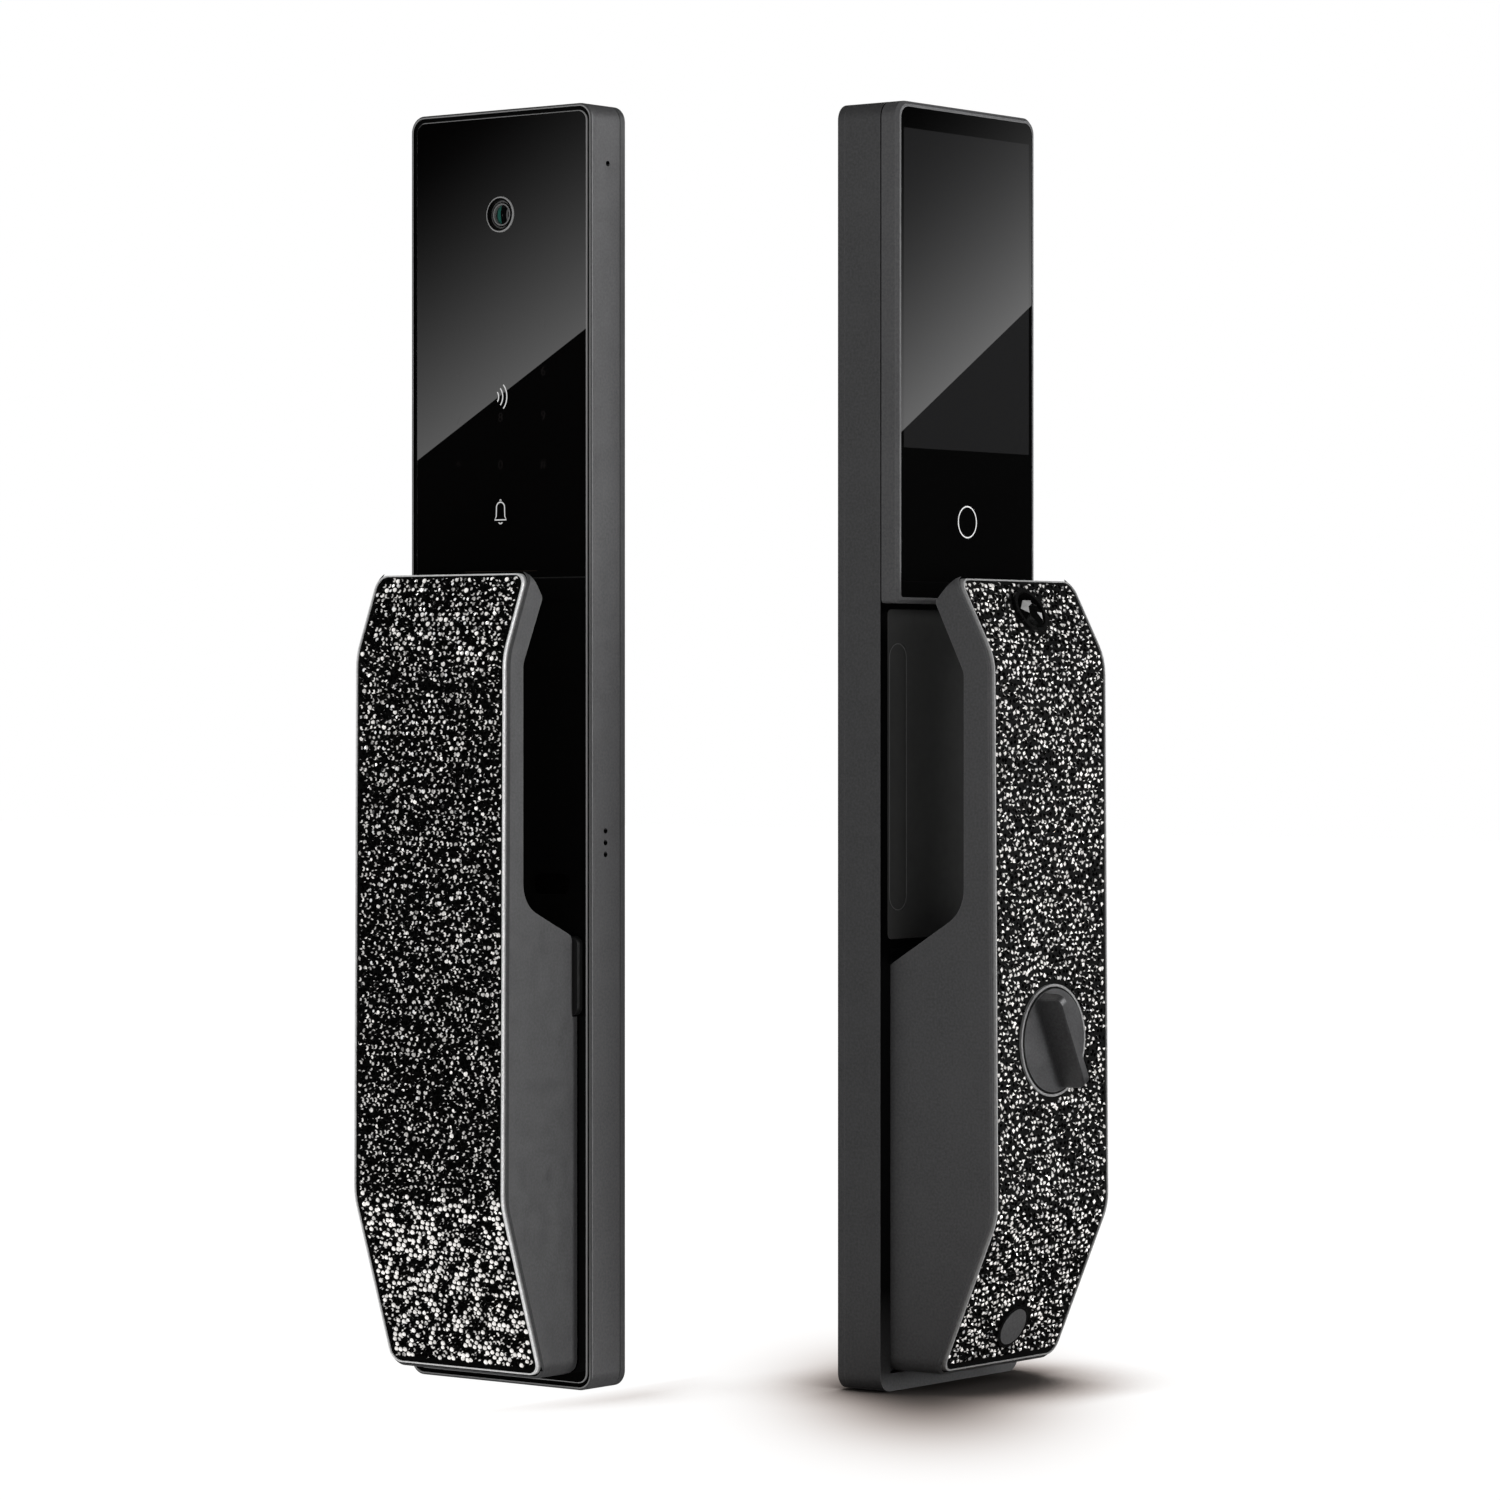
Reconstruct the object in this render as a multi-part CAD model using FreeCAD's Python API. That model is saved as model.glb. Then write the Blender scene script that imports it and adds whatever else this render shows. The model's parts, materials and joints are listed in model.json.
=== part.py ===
import FreeCAD, Part
import math
import os

# Keypad smart lock with push-pull handles: an outside unit and an inside unit, standing on their
# lower ends at a right angle to each other, as a pair on a display shelf. Each unit is drawn in
# its own frame (x across, y from the front plane towards the door, z up from its lower end) and
# then set in the shared frame. Lengths are in millimetres.

V = FreeCAD.Vector

# Both units
HEIGHT = 430.0
WIDTH = 80.0
CORNER_R = 5.5
HOUSING_DEPTH = 14.8
OUTER_SEAM = 0.4
INNER_SEAM = 0.06
PLATE_BACK = 17.6
BASE_DEPTH = 18.0
RIM = 2.3
FRAME_LIP = 0.95
FRAME_GROOVE = 0.9
GLASS_SET = 0.15
GLASS_BACK = 2.2
GLASS_BEVEL = 0.3
EDGE_R = 0.6
WALL = 3.6
TOUCH = 0.02
GASKET_POCKET = 0.6

# Tools longer or deeper than the piece they cut
THROUGH = 1.0
FRONT_CLEAR = -60.0
BACK_CLEAR = 20.0

# Screws that hold the rear plates
SCREW_HEAD_R = 2.7
SCREW_HEAD_T = 1.6
SCREW_CORE_R = 1.25
SCREW_LEN = 9.0
OUTER_POST_R = 3.6
INNER_POST_R = 3.3

# Where the units stand in the shared frame: front planes at a right angle
INNER_FRONT_X = 78.2
INNER_SIDE_Y = 56.0

# Handles
HANDLE_W = 68.0
BEND_R = 22.0
BEND_STEPS = 4
LAYER = 1.8
SKIN = 2.2
LIP_DEPTH = 0.9
LIP_BEVEL = 0.9
RECESS_W = 66.6
TRIM_W = 65.2
PANEL_W = 64.2
RECESS_LOW = 0.7
RECESS_HIGH = 0.5
TRIM_END = 1.3
END_MARGIN = 1.8
FLOOR_T = 3.0
ROOF_T = 3.2
RIB_TOP_Z = 60.0

OUTER_HANDLE = {
    "low_z": 5.2, "lower_bend_z": 64.0, "upper_bend_z": 245.3, "high_z": 273.8,
    "low_y": -17.9, "lower_bend_y": -37.4, "upper_bend_y": -36.4, "top_y": -24.8,
    "end_back_z": 264.5, "neck_z": 242.5,
    "end_back_y": -18.2, "bar_back_y": -28.2, "slope_top_z": 162.9,
    "slope_foot": (-3.0, 151.75), "step_z": 124.8, "seat_y": -0.4,
    "slope_top_r": 11.0, "slope_foot_r": 3.0,
}
INNER_HANDLE = {
    "low_z": 6.5, "lower_bend_z": 59.8, "upper_bend_z": 244.4, "high_z": 272.1,
    "low_y": -19.6, "lower_bend_y": -42.4, "upper_bend_y": -41.2, "top_y": -26.6,
    "end_back_z": 263.2, "neck_z": 239.6,
    "end_back_y": -18.1, "bar_back_y": -29.8, "slope_top_z": 160.75,
    "slope_foot": (-0.3, 142.6), "step_z": 142.3, "seat_y": 1.5,
    "slope_top_r": 13.0, "slope_foot_r": 0.0,
}

# Handle pivots: a steel pin across the foot of each base
PIN_R = 2.0
PIN_CLEAR = 0.05
PIVOT_BOSS_R = 4.2
PIN_HALF = 31.0
RIB_X = 21.0
RIB_W = 6.0
OUTER_PIVOT = (7.5, 10.0)
INNER_PIVOT = (8.0, 12.0)

# Camera
CAMERA_Z = 394.6
CAMERA_BEZEL_R = 6.1

# Side wall outlets of the outside unit
HOLE_R = 1.0
MIC = (8.5, 410.0)
SPEAKER_Y = 7.3
SPEAKER_Z = 182.9
SPEAKER_PITCH = 3.95

# Drive stems and their windows
STEM_W = 12.0
STEM_H = 10.0
OUTER_STEM_Z = 136.0
INNER_STEM_Z = 80.0
WINDOW_W = 18.0
WINDOW_H = 20.0

# Guide block between the outside handle and the glass
BLOCK_W = 71.8
BLOCK_LOW = 125.2
BLOCK_HIGH = 151.8

# Door fixing
FIX_X = 24.0
FIX_LOW_Z = 115.0
FIX_HIGH_Z = 375.0
FIX_HOLE_R = 2.1
FIX_CLEAR_R = 3.0
CABLE_Z = 335.0
CABLE_W = 26.0
CABLE_H = 14.0

# Display module on the inside unit
MODULE_FRONT = -7.2
MODULE_LOW = 262.8
MODULE_BEVEL = 1.1
MODULE_RIM = 1.9
MODULE_GLASS_T = 2.0
MODULE_GAP = 0.5
MODULE_NECK = 0.9
DISPLAY_W = 72.6
DISPLAY_LOW = 314.6
DISPLAY_HIGH = 421.0

# Inside unit front wall, handle opening and battery bay
INNER_WALL = 3.0
INNER_SIDE = 3.2
OPENING_W = 68.8
OPENING_LOW = 5.9
OPENING_HIGH = 147.8
COVER_W = 71.6
COVER_LOW = 150.8
COVER_HIGH = 260.8
COVER_T = 1.8
STRIP_POCKET = 0.85
STRIP_W = 9.5
STRIP_X = -30.0
STRIP_LOW = 160.4
STRIP_HIGH = 249.4

# Thumbturn
TURN_Z = 117.0
TURN_PLANE = -42.05
TURN_CUP_R = 18.8
TURN_BORE_R = 18.0
TURN_DISC_R = 17.25
TURN_FACE = -42.65
TURN_CUP_DEPTH = 7.5
TURN_TILT = 27.0
TURN_BAR_W = 5.0
TURN_BAR_TOP_W = 3.6
TURN_BAR_LEN = 34.0
TURN_BAR_H = 8.6
TURN_BAR_ROUND = 3.0
SHAFT_R = 4.0
HUB_R = 9.0
HUB_BORE_R = 5.6
BUSHING_R = 12.0

# Buttons
JEWEL_Z = 260.4
JEWEL_R = 6.4
JEWEL_CUP_R = 8.0
LOW_BUTTON_Z = 20.4
LOW_BUTTON_R = 6.5
LOW_CUP_R = 7.7
BUTTON_GAP = 0.25


def slab(width, low, high, front, back, radius=0.0, x_mid=0.0):
    """Upright plate with rounded corners in its front view."""
    block = Part.makeBox(width, back - front, high - low, V(x_mid - width / 2, front, low))
    if radius == 0.0:
        return block
    corners = [e for e in block.Edges if abs(e.tangentAt(e.FirstParameter).y) > 0.99]
    return block.makeFillet(radius, corners)


def outline(inset, front, back):
    """Plate that follows the outline of a unit, drawn in by inset all round."""
    return slab(WIDTH - 2 * inset, inset, HEIGHT - inset, front, back, CORNER_R - 0.75 * inset)


def front_edges_of(shape, front):
    """The edges that lie in the plane y = front."""
    return [e for e in shape.Edges if all(abs(v.Y - front) < 0.01 for v in e.Vertexes)]


def disc(radius, front, back, x=0.0, z=0.0):
    return Part.makeCylinder(radius, back - front, V(x, front, z), V(0, 1, 0))


def rod(radius, left, right, y, z):
    return Part.makeCylinder(radius, right - left, V(left, y, z), V(1, 0, 0))


def extrude_profile(points, width, x_mid=0.0):
    """Side-view outline of (y, z) points, extruded across the unit."""
    corners = [V(x_mid - width / 2, y, z) for y, z in points]
    face = Part.Face(Part.makePolygon(corners + corners[:1]))
    return face.extrude(V(width, 0, 0))


def round_cross_edges(shape, rounds):
    """Round the edges that run across the unit at each (y, z, radius)."""
    for y, z, radius in rounds:
        picked = []
        for edge in shape.Edges:
            start = edge.Vertexes[0].Point
            end = edge.Vertexes[-1].Point
            if abs(start.x - end.x) < 1.0:
                continue
            if abs(start.y - y) < 0.01 and abs(start.z - z) < 0.01 and abs(end.z - z) < 0.01:
                picked.append(edge)
        shape = shape.makeFillet(radius, picked)
    return shape


def coil(radius, wire, pitch, length):
    """Helical spring along +z from the origin."""
    path = Part.Wire(Part.makeHelix(pitch, length, radius).Edges)
    section = Part.Wire([Part.makeCircle(wire / 2, V(radius, 0, 0), V(0, 1, 0))])
    return path.makePipeShell([section], True, True)


def front_points(handle):
    """Ends and bends of the three-facet front line, as (y, z)."""
    return [
        (handle["low_y"], handle["low_z"]),
        (handle["lower_bend_y"], handle["lower_bend_z"]),
        (handle["upper_bend_y"], handle["upper_bend_z"]),
        (handle["top_y"], handle["high_z"]),
    ]


def towards(start, end, length):
    """The point at a length from start on the line to end."""
    whole = math.hypot(end[0] - start[0], end[1] - start[1])
    return tuple(a + (b - a) * length / whole for a, b in zip(start, end))


def front_curve(handle):
    """The front line with its two bends rounded."""
    sharp = front_points(handle)
    curve = [sharp[0]]
    for before, bend, after in zip(sharp, sharp[1:], sharp[2:]):
        turn = math.atan2(after[0] - bend[0], after[1] - bend[1])
        turn -= math.atan2(bend[0] - before[0], bend[1] - before[1])
        reach = BEND_R * math.tan(abs(turn) / 2)
        first = towards(bend, before, reach)
        last = towards(bend, after, reach)
        for step in range(BEND_STEPS + 1):
            t = step / BEND_STEPS
            weights = ((1 - t) ** 2, 2 * t * (1 - t), t ** 2)
            curve.append(tuple(sum(w * q[axis] for w, q in zip(weights, (first, bend, last)))
                               for axis in (0, 1)))
    return curve + [sharp[-1]]


def front_line(handle, depth):
    """The handle's front line, moved in by depth and run on past both ends."""
    points = front_curve(handle)
    run_on = 12.0
    lines = []
    for (y0, z0), (y1, z1) in zip(points, points[1:]):
        length = math.hypot(y1 - y0, z1 - z0)
        along = ((y1 - y0) / length, (z1 - z0) / length)
        inward = (along[1], -along[0])
        lines.append(((y0 + inward[0] * depth, z0 + inward[1] * depth), along))
    moved = [(lines[0][0][0] - lines[0][1][0] * run_on, lines[0][0][1] - lines[0][1][1] * run_on)]
    for (start, along), (other, across) in zip(lines, lines[1:]):
        cross = along[0] * across[1] - along[1] * across[0]
        gap = (other[0] - start[0], other[1] - start[1])
        step = (gap[0] * across[1] - gap[1] * across[0]) / cross
        moved.append((start[0] + along[0] * step, start[1] + along[1] * step))
    last_length = math.hypot(points[-1][0] - points[-2][0], points[-1][1] - points[-2][1])
    start, along = lines[-1]
    reach = last_length + run_on
    moved.append((start[0] + along[0] * reach, start[1] + along[1] * reach))
    return moved


def front_layer(handle, outer_depth, inner_depth, width):
    points = front_line(handle, outer_depth) + front_line(handle, inner_depth)[::-1]
    return extrude_profile(points, width)


def front_y(handle, depth, z):
    """y of the front line, moved in by depth, at height z."""
    line = front_line(handle, depth)
    for (y0, z0), (y1, z1) in zip(line, line[1:]):
        if z0 <= z <= z1:
            return y0 + (y1 - y0) * (z - z0) / (z1 - z0)
    raise ValueError(z)


def facet_normal(handle, first):
    """Outward normal (y, z) of the front facet that starts at point number first."""
    points = front_points(handle)
    y0, z0 = points[first]
    y1, z1 = points[first + 1]
    length = math.hypot(y1 - y0, z1 - z0)
    return V(0, -(z1 - z0) / length, (y1 - y0) / length)


def handle_envelope(handle):
    foot_y, foot_z = handle["slope_foot"]
    points = front_curve(handle) + [
        (handle["end_back_y"], handle["end_back_z"]),
        (handle["bar_back_y"], handle["neck_z"]),
        (handle["bar_back_y"], handle["slope_top_z"]),
        (foot_y, foot_z),
        (foot_y, handle["step_z"]),
        (handle["seat_y"], handle["step_z"]),
        (handle["seat_y"], handle["low_z"]),
    ]
    block = extrude_profile(points, HANDLE_W)
    rounds = [
        (handle["end_back_y"], handle["end_back_z"], 2.0),
        (handle["bar_back_y"], handle["neck_z"], 6.0),
        (handle["bar_back_y"], handle["slope_top_z"], handle["slope_top_r"]),
        (handle["seat_y"], handle["low_z"], 2.0),
    ]
    if handle["slope_foot_r"] > 0:
        rounds.append((foot_y, foot_z, handle["slope_foot_r"]))
    return round_cross_edges(block, rounds)


def handle_cavity(handle):
    """The hollow of the cast handle: open towards the door in the pedestal, a duct in the bar."""
    depth = LAYER + SKIN
    floor_z = handle["low_z"] + FLOOR_T
    roof_z = handle["slope_top_z"] - ROOF_T
    foot_y, foot_z = handle["slope_foot"]
    lower_bend = front_line(handle, depth)[1:BEND_STEPS + 2]
    width = HANDLE_W - 2 * SKIN - 0.4
    pedestal = extrude_profile([
        (front_y(handle, depth, floor_z), floor_z),
        *lower_bend,
        (front_y(handle, depth, roof_z), roof_z),
        (handle["bar_back_y"], roof_z),
        (foot_y, foot_z - ROOF_T),
        (5.0, foot_z - ROOF_T),
        (5.0, floor_z),
    ], width)
    duct_front = handle["upper_bend_y"] + depth + 0.4
    duct_back = handle["bar_back_y"] - SKIN
    duct = slab(width - 8, roof_z - 4, handle["neck_z"] - 4, duct_front, duct_back)
    return pedestal.fuse(duct)


def pivot_rib(handle, pivot, x):
    """Rib from the handle's shell to the pivot pin."""
    pivot_y, pivot_z = pivot
    root = LAYER + 1.0
    low = handle["low_z"] + 2.0
    return extrude_profile([
        (front_y(handle, root, low), low),
        (front_y(handle, root, RIB_TOP_Z), RIB_TOP_Z),
        (-8.0, RIB_TOP_Z),
        (-4.0, 24.0),
        (pivot_y, pivot_z + PIVOT_BOSS_R),
        (pivot_y, pivot_z - PIVOT_BOSS_R),
        (-4.0, low),
    ], RIB_W, x).fuse(rod(PIVOT_BOSS_R, x - RIB_W / 2, x + RIB_W / 2, pivot_y, pivot_z))


def on_front_line(handle, depth, point):
    return abs(front_y(handle, depth, point.z) - point.y) < 0.02


def handle_body(handle, pivot):
    """Cast shell with a bevelled lip round the recess of the trim and the stones."""
    body = handle_envelope(handle)
    body = body.common(slab(HANDLE_W, handle["low_z"], handle["high_z"], FRONT_CLEAR, BACK_CLEAR, 5.2))
    body = body.cut(front_layer(handle, -8, LIP_DEPTH, WIDTH))
    lip = [e for e in body.Edges
           if all(on_front_line(handle, LIP_DEPTH, v.Point) for v in e.Vertexes)
           and abs(abs(e.CenterOfMass.x) - HANDLE_W / 2) < 2.0]
    body = body.makeChamfer(LIP_BEVEL, lip)
    recess = front_layer(handle, -8, LAYER, WIDTH)
    low = handle["low_z"] + RECESS_LOW
    high = handle["high_z"] - RECESS_HIGH
    recess = recess.common(slab(RECESS_W, low, high, FRONT_CLEAR, BACK_CLEAR, 4.6))
    body = body.cut(recess)
    body = body.cut(handle_cavity(handle))
    for side in (-1, 1):
        body = body.fuse(pivot_rib(handle, pivot, side * RIB_X))
    body = body.cut(rod(PIN_R + PIN_CLEAR, -PIN_HALF, PIN_HALF, pivot[0], pivot[1]))
    return body


def handle_trim(handle):
    """Thin frame round the stone panel."""
    low = handle["low_z"] + TRIM_END
    high = handle["high_z"] - TRIM_END
    frame = handle_envelope(handle).common(slab(TRIM_W, low, high, FRONT_CLEAR, BACK_CLEAR, 4.3))
    frame = frame.common(front_layer(handle, 0.0, LAYER, WIDTH))
    return frame.cut(panel_prism(handle, 0.0))


def panel_prism(handle, inset):
    low = handle["low_z"] + END_MARGIN + inset
    high = handle["high_z"] - END_MARGIN - inset
    return slab(PANEL_W - 2 * inset, low, high, FRONT_CLEAR, BACK_CLEAR, 4.1)


def stone_panel(handle):
    """Backing panel of the stones: three flat facets in one bent sheet."""
    return front_layer(handle, 0.5, LAYER, WIDTH).common(panel_prism(handle, TOUCH))


def screw(x, z, head_back):
    head_front = head_back - SCREW_HEAD_T
    head = disc(SCREW_HEAD_R, head_front, head_back, x, z)
    return head.fuse(disc(SCREW_CORE_R, head_back - SCREW_LEN, head_front, x, z))


def rear_plate(seam, screws, fixings, windows):
    """Plate that closes a unit towards the door, with a shadow gap along the housing."""
    plate = outline(0.0, HOUSING_DEPTH + seam, PLATE_BACK)
    plate = plate.fuse(outline(1.2, HOUSING_DEPTH, HOUSING_DEPTH + seam + 0.1))
    before = HOUSING_DEPTH - THROUGH
    beyond = PLATE_BACK + THROUGH
    gasket_groove = outline(1.0, PLATE_BACK - GASKET_POCKET, beyond).cut(outline(3.6, before, beyond))
    plate = plate.cut(gasket_groove)
    for x, z in screws:
        plate = plate.cut(disc(SCREW_HEAD_R, PLATE_BACK - SCREW_HEAD_T, beyond, x, z))
        plate = plate.cut(disc(SCREW_CORE_R, before, PLATE_BACK, x, z))
    for width, height, z in windows:
        plate = plate.cut(slab(width, z - height / 2, z + height / 2, before, beyond, 2.0))
    for x, z, radius in fixings:
        plate = plate.cut(disc(radius, before, beyond, x, z))
    return plate


def door_gasket():
    ring = outline(1.2, PLATE_BACK - GASKET_POCKET, BASE_DEPTH)
    return ring.cut(outline(3.4, HOUSING_DEPTH, BASE_DEPTH + THROUGH))


def fix_points():
    return [(side * FIX_X, z) for side in (-1, 1) for z in (FIX_LOW_Z, FIX_HIGH_Z)]


def pin_lugs(pivot, low, front):
    lugs = [slab(4.0, low, pivot[1] + 4.4, front, pivot[0] + 4.5, 0, side * (PIN_HALF - 2.0))
            for side in (-1, 1)]
    return lugs[0].fuse(lugs[1])


def outer_screws():
    return [(side * 33.0, z) for side in (-1, 1) for z in (30.0, 215.0, 397.0)]


def inner_screws():
    return [(side * 33.4, z) for side in (-1, 1) for z in (154.6, 264.0, 408.0)]


def screw_posts(points, radius, front):
    posts = disc(radius, front, HOUSING_DEPTH, *points[0])
    for x, z in points[1:]:
        posts = posts.fuse(disc(radius, front, HOUSING_DEPTH, x, z))
    return posts


def outer_housing():
    tray = outline(0.0, 0, HOUSING_DEPTH)
    tray = tray.makeFillet(EDGE_R, front_edges_of(tray, 0.0))
    tray = tray.cut(outline(FRAME_LIP, -THROUGH, FRAME_GROOVE))
    tray = tray.cut(outline(RIM, -THROUGH, GLASS_BACK))
    tray = tray.cut(outline(WALL, -THROUGH, HOUSING_DEPTH + THROUGH))
    tray = tray.fuse(screw_posts(outer_screws(), OUTER_POST_R, GLASS_BACK))
    tray = tray.fuse(pin_lugs(OUTER_PIVOT, WALL - 0.5, GLASS_BACK))
    tray = tray.cut(rod(PIN_R, -PIN_HALF, PIN_HALF, *OUTER_PIVOT))
    for x, z in outer_screws():
        tray = tray.cut(disc(SCREW_CORE_R, 6, HOUSING_DEPTH + THROUGH, x, z))
    inside = WIDTH / 2 - 2 * WALL
    outside = WIDTH / 2 + THROUGH
    tray = tray.cut(rod(HOLE_R, inside, outside, *MIC))
    for step in (-1, 0, 1):
        outlet_z = SPEAKER_Z + step * SPEAKER_PITCH
        tray = tray.cut(rod(HOLE_R, inside, outside, SPEAKER_Y, outlet_z))
    return tray


def outer_glass():
    pane = outline(RIM + TOUCH, GLASS_SET, GLASS_BACK)
    pane = pane.makeChamfer(GLASS_BEVEL, front_edges_of(pane, GLASS_SET))
    pane = pane.cut(disc(CAMERA_BEZEL_R, -THROUGH, GLASS_BACK + THROUGH, 0, CAMERA_Z))
    pane = pane.cut(slab(WINDOW_W, OUTER_STEM_Z - WINDOW_H / 2, OUTER_STEM_Z + WINDOW_H / 2, -1, 4, 2.0))
    for side in (-1, 1):
        pane = pane.cut(slab(RIB_W + 2.0, 4.6, 28.0, -1, 4, 1.0, side * RIB_X))
    return pane


def guide_block():
    block = slab(BLOCK_W, BLOCK_LOW, BLOCK_HIGH, -2.6, GLASS_SET, 3.0)
    low = OUTER_STEM_Z - WINDOW_H / 2 + 1.5
    high = OUTER_STEM_Z + WINDOW_H / 2 - 1.5
    return block.cut(slab(WINDOW_W - 1.5, low, high, -4, 1, 2.0))


def outer_rear_cover():
    windows = [(WINDOW_W, WINDOW_H, OUTER_STEM_Z), (CABLE_W, CABLE_H, CABLE_Z)]
    cover = rear_plate(OUTER_SEAM, outer_screws(), [], windows)
    for x, z in fix_points():
        cover = cover.fuse(disc(5.0, 6.0, HOUSING_DEPTH + 0.5, x, z))
        cover = cover.cut(disc(FIX_HOLE_R, 8.0, PLATE_BACK + 1, x, z))
    return cover


def camera_parts():
    bezel = disc(CAMERA_BEZEL_R - TOUCH, -0.35, GLASS_BACK, 0, CAMERA_Z)
    bezel = bezel.cut(disc(4.9, -2, 1.1, 0, CAMERA_Z)).cut(disc(4.2, 0, 4, 0, CAMERA_Z))
    front_ring = [e for e in bezel.Edges if abs(e.CenterOfMass.y + 0.35) < 0.01]
    bezel = bezel.makeChamfer(0.25, front_ring)
    barrel = disc(4.1, 0.7, 9.5, 0, CAMERA_Z).cut(disc(3.35, 0.2, 4.5, 0, CAMERA_Z))
    lens = disc(3.3, 1.9, 4.0, 0, CAMERA_Z)
    dome = Part.makeSphere(7.0, V(0, 1.1 + 7.0, CAMERA_Z)).common(disc(3.3, 0, 1.9, 0, CAMERA_Z))
    return bezel, barrel, lens.fuse(dome)


def board(width, low, high, front, thickness, holes):
    """Circuit board with clearance holes."""
    plate = slab(width, low, high, front, front + thickness, 1.5)
    for x, z, radius in holes:
        plate = plate.cut(disc(radius, front - 1, front + thickness + 1, x, z))
    return plate


def stem(handle, z, end_y):
    flange_half = STEM_H / 2 + 3
    start = front_y(handle, LAYER + SKIN, z + flange_half) + TOUCH
    flange = slab(STEM_W + 10, z - flange_half, z + flange_half, start, start + 2.5, 2.0)
    return flange.fuse(slab(STEM_W, z - STEM_H / 2, z + STEM_H / 2, start, end_y, 1.0))


def pivot_spring(pivot):
    spring = coil(3.5, 0.9, 1.5, 15.0)
    spring.rotate(V(0, 0, 0), V(0, 1, 0), 90)
    spring.translate(V(-7.5, pivot[0], pivot[1]))
    return spring


def fingerprint_sensor():
    """Finger pad at the foot of the outside bar, where the palm side curves into the slope."""
    back = OUTER_HANDLE["bar_back_y"]
    return slab(14.0, 163.5, 171.2, back - 1.6, back + 1.7, 2.5)


def inner_housing():
    tray = outline(0.0, 0, HOUSING_DEPTH)
    tray = tray.cut(outline(INNER_SIDE, INNER_WALL, HOUSING_DEPTH + THROUGH))
    tray = tray.cut(slab(OPENING_W, OPENING_LOW, OPENING_HIGH, -1, INNER_WALL + 1))
    tray = tray.cut(slab(COVER_W + 0.4, COVER_LOW - 0.2, COVER_HIGH + 0.2, -1, COVER_T, 2.0))
    tray = tray.cut(slab(60.0, COVER_LOW + 3, COVER_HIGH - 3, -1, INNER_WALL + 1, 2.0))
    tray = tray.cut(slab(64.0, MODULE_LOW + 6, HEIGHT - 8, -1, INNER_WALL + 1, 3.0))
    tray = tray.fuse(screw_posts(inner_screws(), INNER_POST_R, INNER_WALL - 0.5))
    tray = tray.fuse(pin_lugs(INNER_PIVOT, INNER_SIDE - 0.5, INNER_WALL + 1.0))
    tray = tray.cut(rod(PIN_R, -PIN_HALF, PIN_HALF, *INNER_PIVOT))
    for x, z in inner_screws():
        tray = tray.cut(disc(SCREW_CORE_R, 7, HOUSING_DEPTH + THROUGH, x, z))
    return tray


def inner_rear_plate():
    windows = [(WINDOW_W, WINDOW_H, INNER_STEM_Z), (CABLE_W, CABLE_H, CABLE_Z)]
    fixings = [(x, z, FIX_CLEAR_R) for x, z in fix_points()]
    plate = rear_plate(INNER_SEAM, inner_screws(), fixings, windows)
    return plate.cut(disc(BUSHING_R, HOUSING_DEPTH - THROUGH, PLATE_BACK + THROUGH, 0, TURN_Z))


def module_block(inset, front, back):
    """Block that follows the display module's outline."""
    block = slab(WIDTH - 2 * inset, MODULE_LOW + inset, HEIGHT - inset, front, back)
    upper = []
    for edge in block.Edges:
        if abs(edge.tangentAt(edge.FirstParameter).y) > 0.99 and edge.CenterOfMass.z > HEIGHT - CORNER_R:
            upper.append(edge)
    block = block.makeFillet(CORNER_R - 0.75 * inset, upper)
    lower = [e for e in block.Edges
             if abs(e.tangentAt(e.FirstParameter).y) > 0.99 and e.CenterOfMass.z < MODULE_LOW + inset + 0.1]
    return block.makeFillet(1.2, lower)


def display_housing():
    shell = module_block(0.0, MODULE_FRONT, -MODULE_GAP)
    shell = shell.makeChamfer(MODULE_BEVEL, front_edges_of(shell, MODULE_FRONT))
    shell = shell.fuse(module_block(MODULE_NECK, -2 * MODULE_GAP, 0.0))
    shell = shell.cut(module_block(MODULE_RIM, MODULE_FRONT - THROUGH, MODULE_FRONT + MODULE_GLASS_T))
    return shell.cut(module_block(3.0, MODULE_FRONT - THROUGH, THROUGH))


def display_glass():
    return module_block(MODULE_RIM + TOUCH, MODULE_FRONT + GLASS_SET, MODULE_FRONT + MODULE_GLASS_T)


def display_panel():
    front = MODULE_FRONT + MODULE_GLASS_T
    return slab(DISPLAY_W, DISPLAY_LOW, DISPLAY_HIGH, front, -2.6, 1.0)


def battery_cover():
    cover = slab(COVER_W, COVER_LOW, COVER_HIGH, 0.05, COVER_T, 1.8)
    strip_pocket = slab(STRIP_W + 0.1, STRIP_LOW, STRIP_HIGH, -THROUGH, STRIP_POCKET, 3.5, STRIP_X)
    return cover.cut(strip_pocket)


def cover_strip():
    return slab(STRIP_W, STRIP_LOW + 0.05, STRIP_HIGH - 0.05, 0.3, STRIP_POCKET, 3.45, STRIP_X)


def turn_cup():
    """Bearing cup of the thumbturn, seated in the handle's front."""
    back = TURN_PLANE + TURN_CUP_DEPTH
    cup = disc(TURN_CUP_R, TURN_PLANE - 0.3, back, 0, TURN_Z)
    cup = cup.cut(disc(TURN_BORE_R, TURN_PLANE - THROUGH, back - 2.0, 0, TURN_Z))
    return cup.cut(disc(SHAFT_R + PIN_CLEAR, TURN_PLANE, back + THROUGH, 0, TURN_Z))


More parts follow.
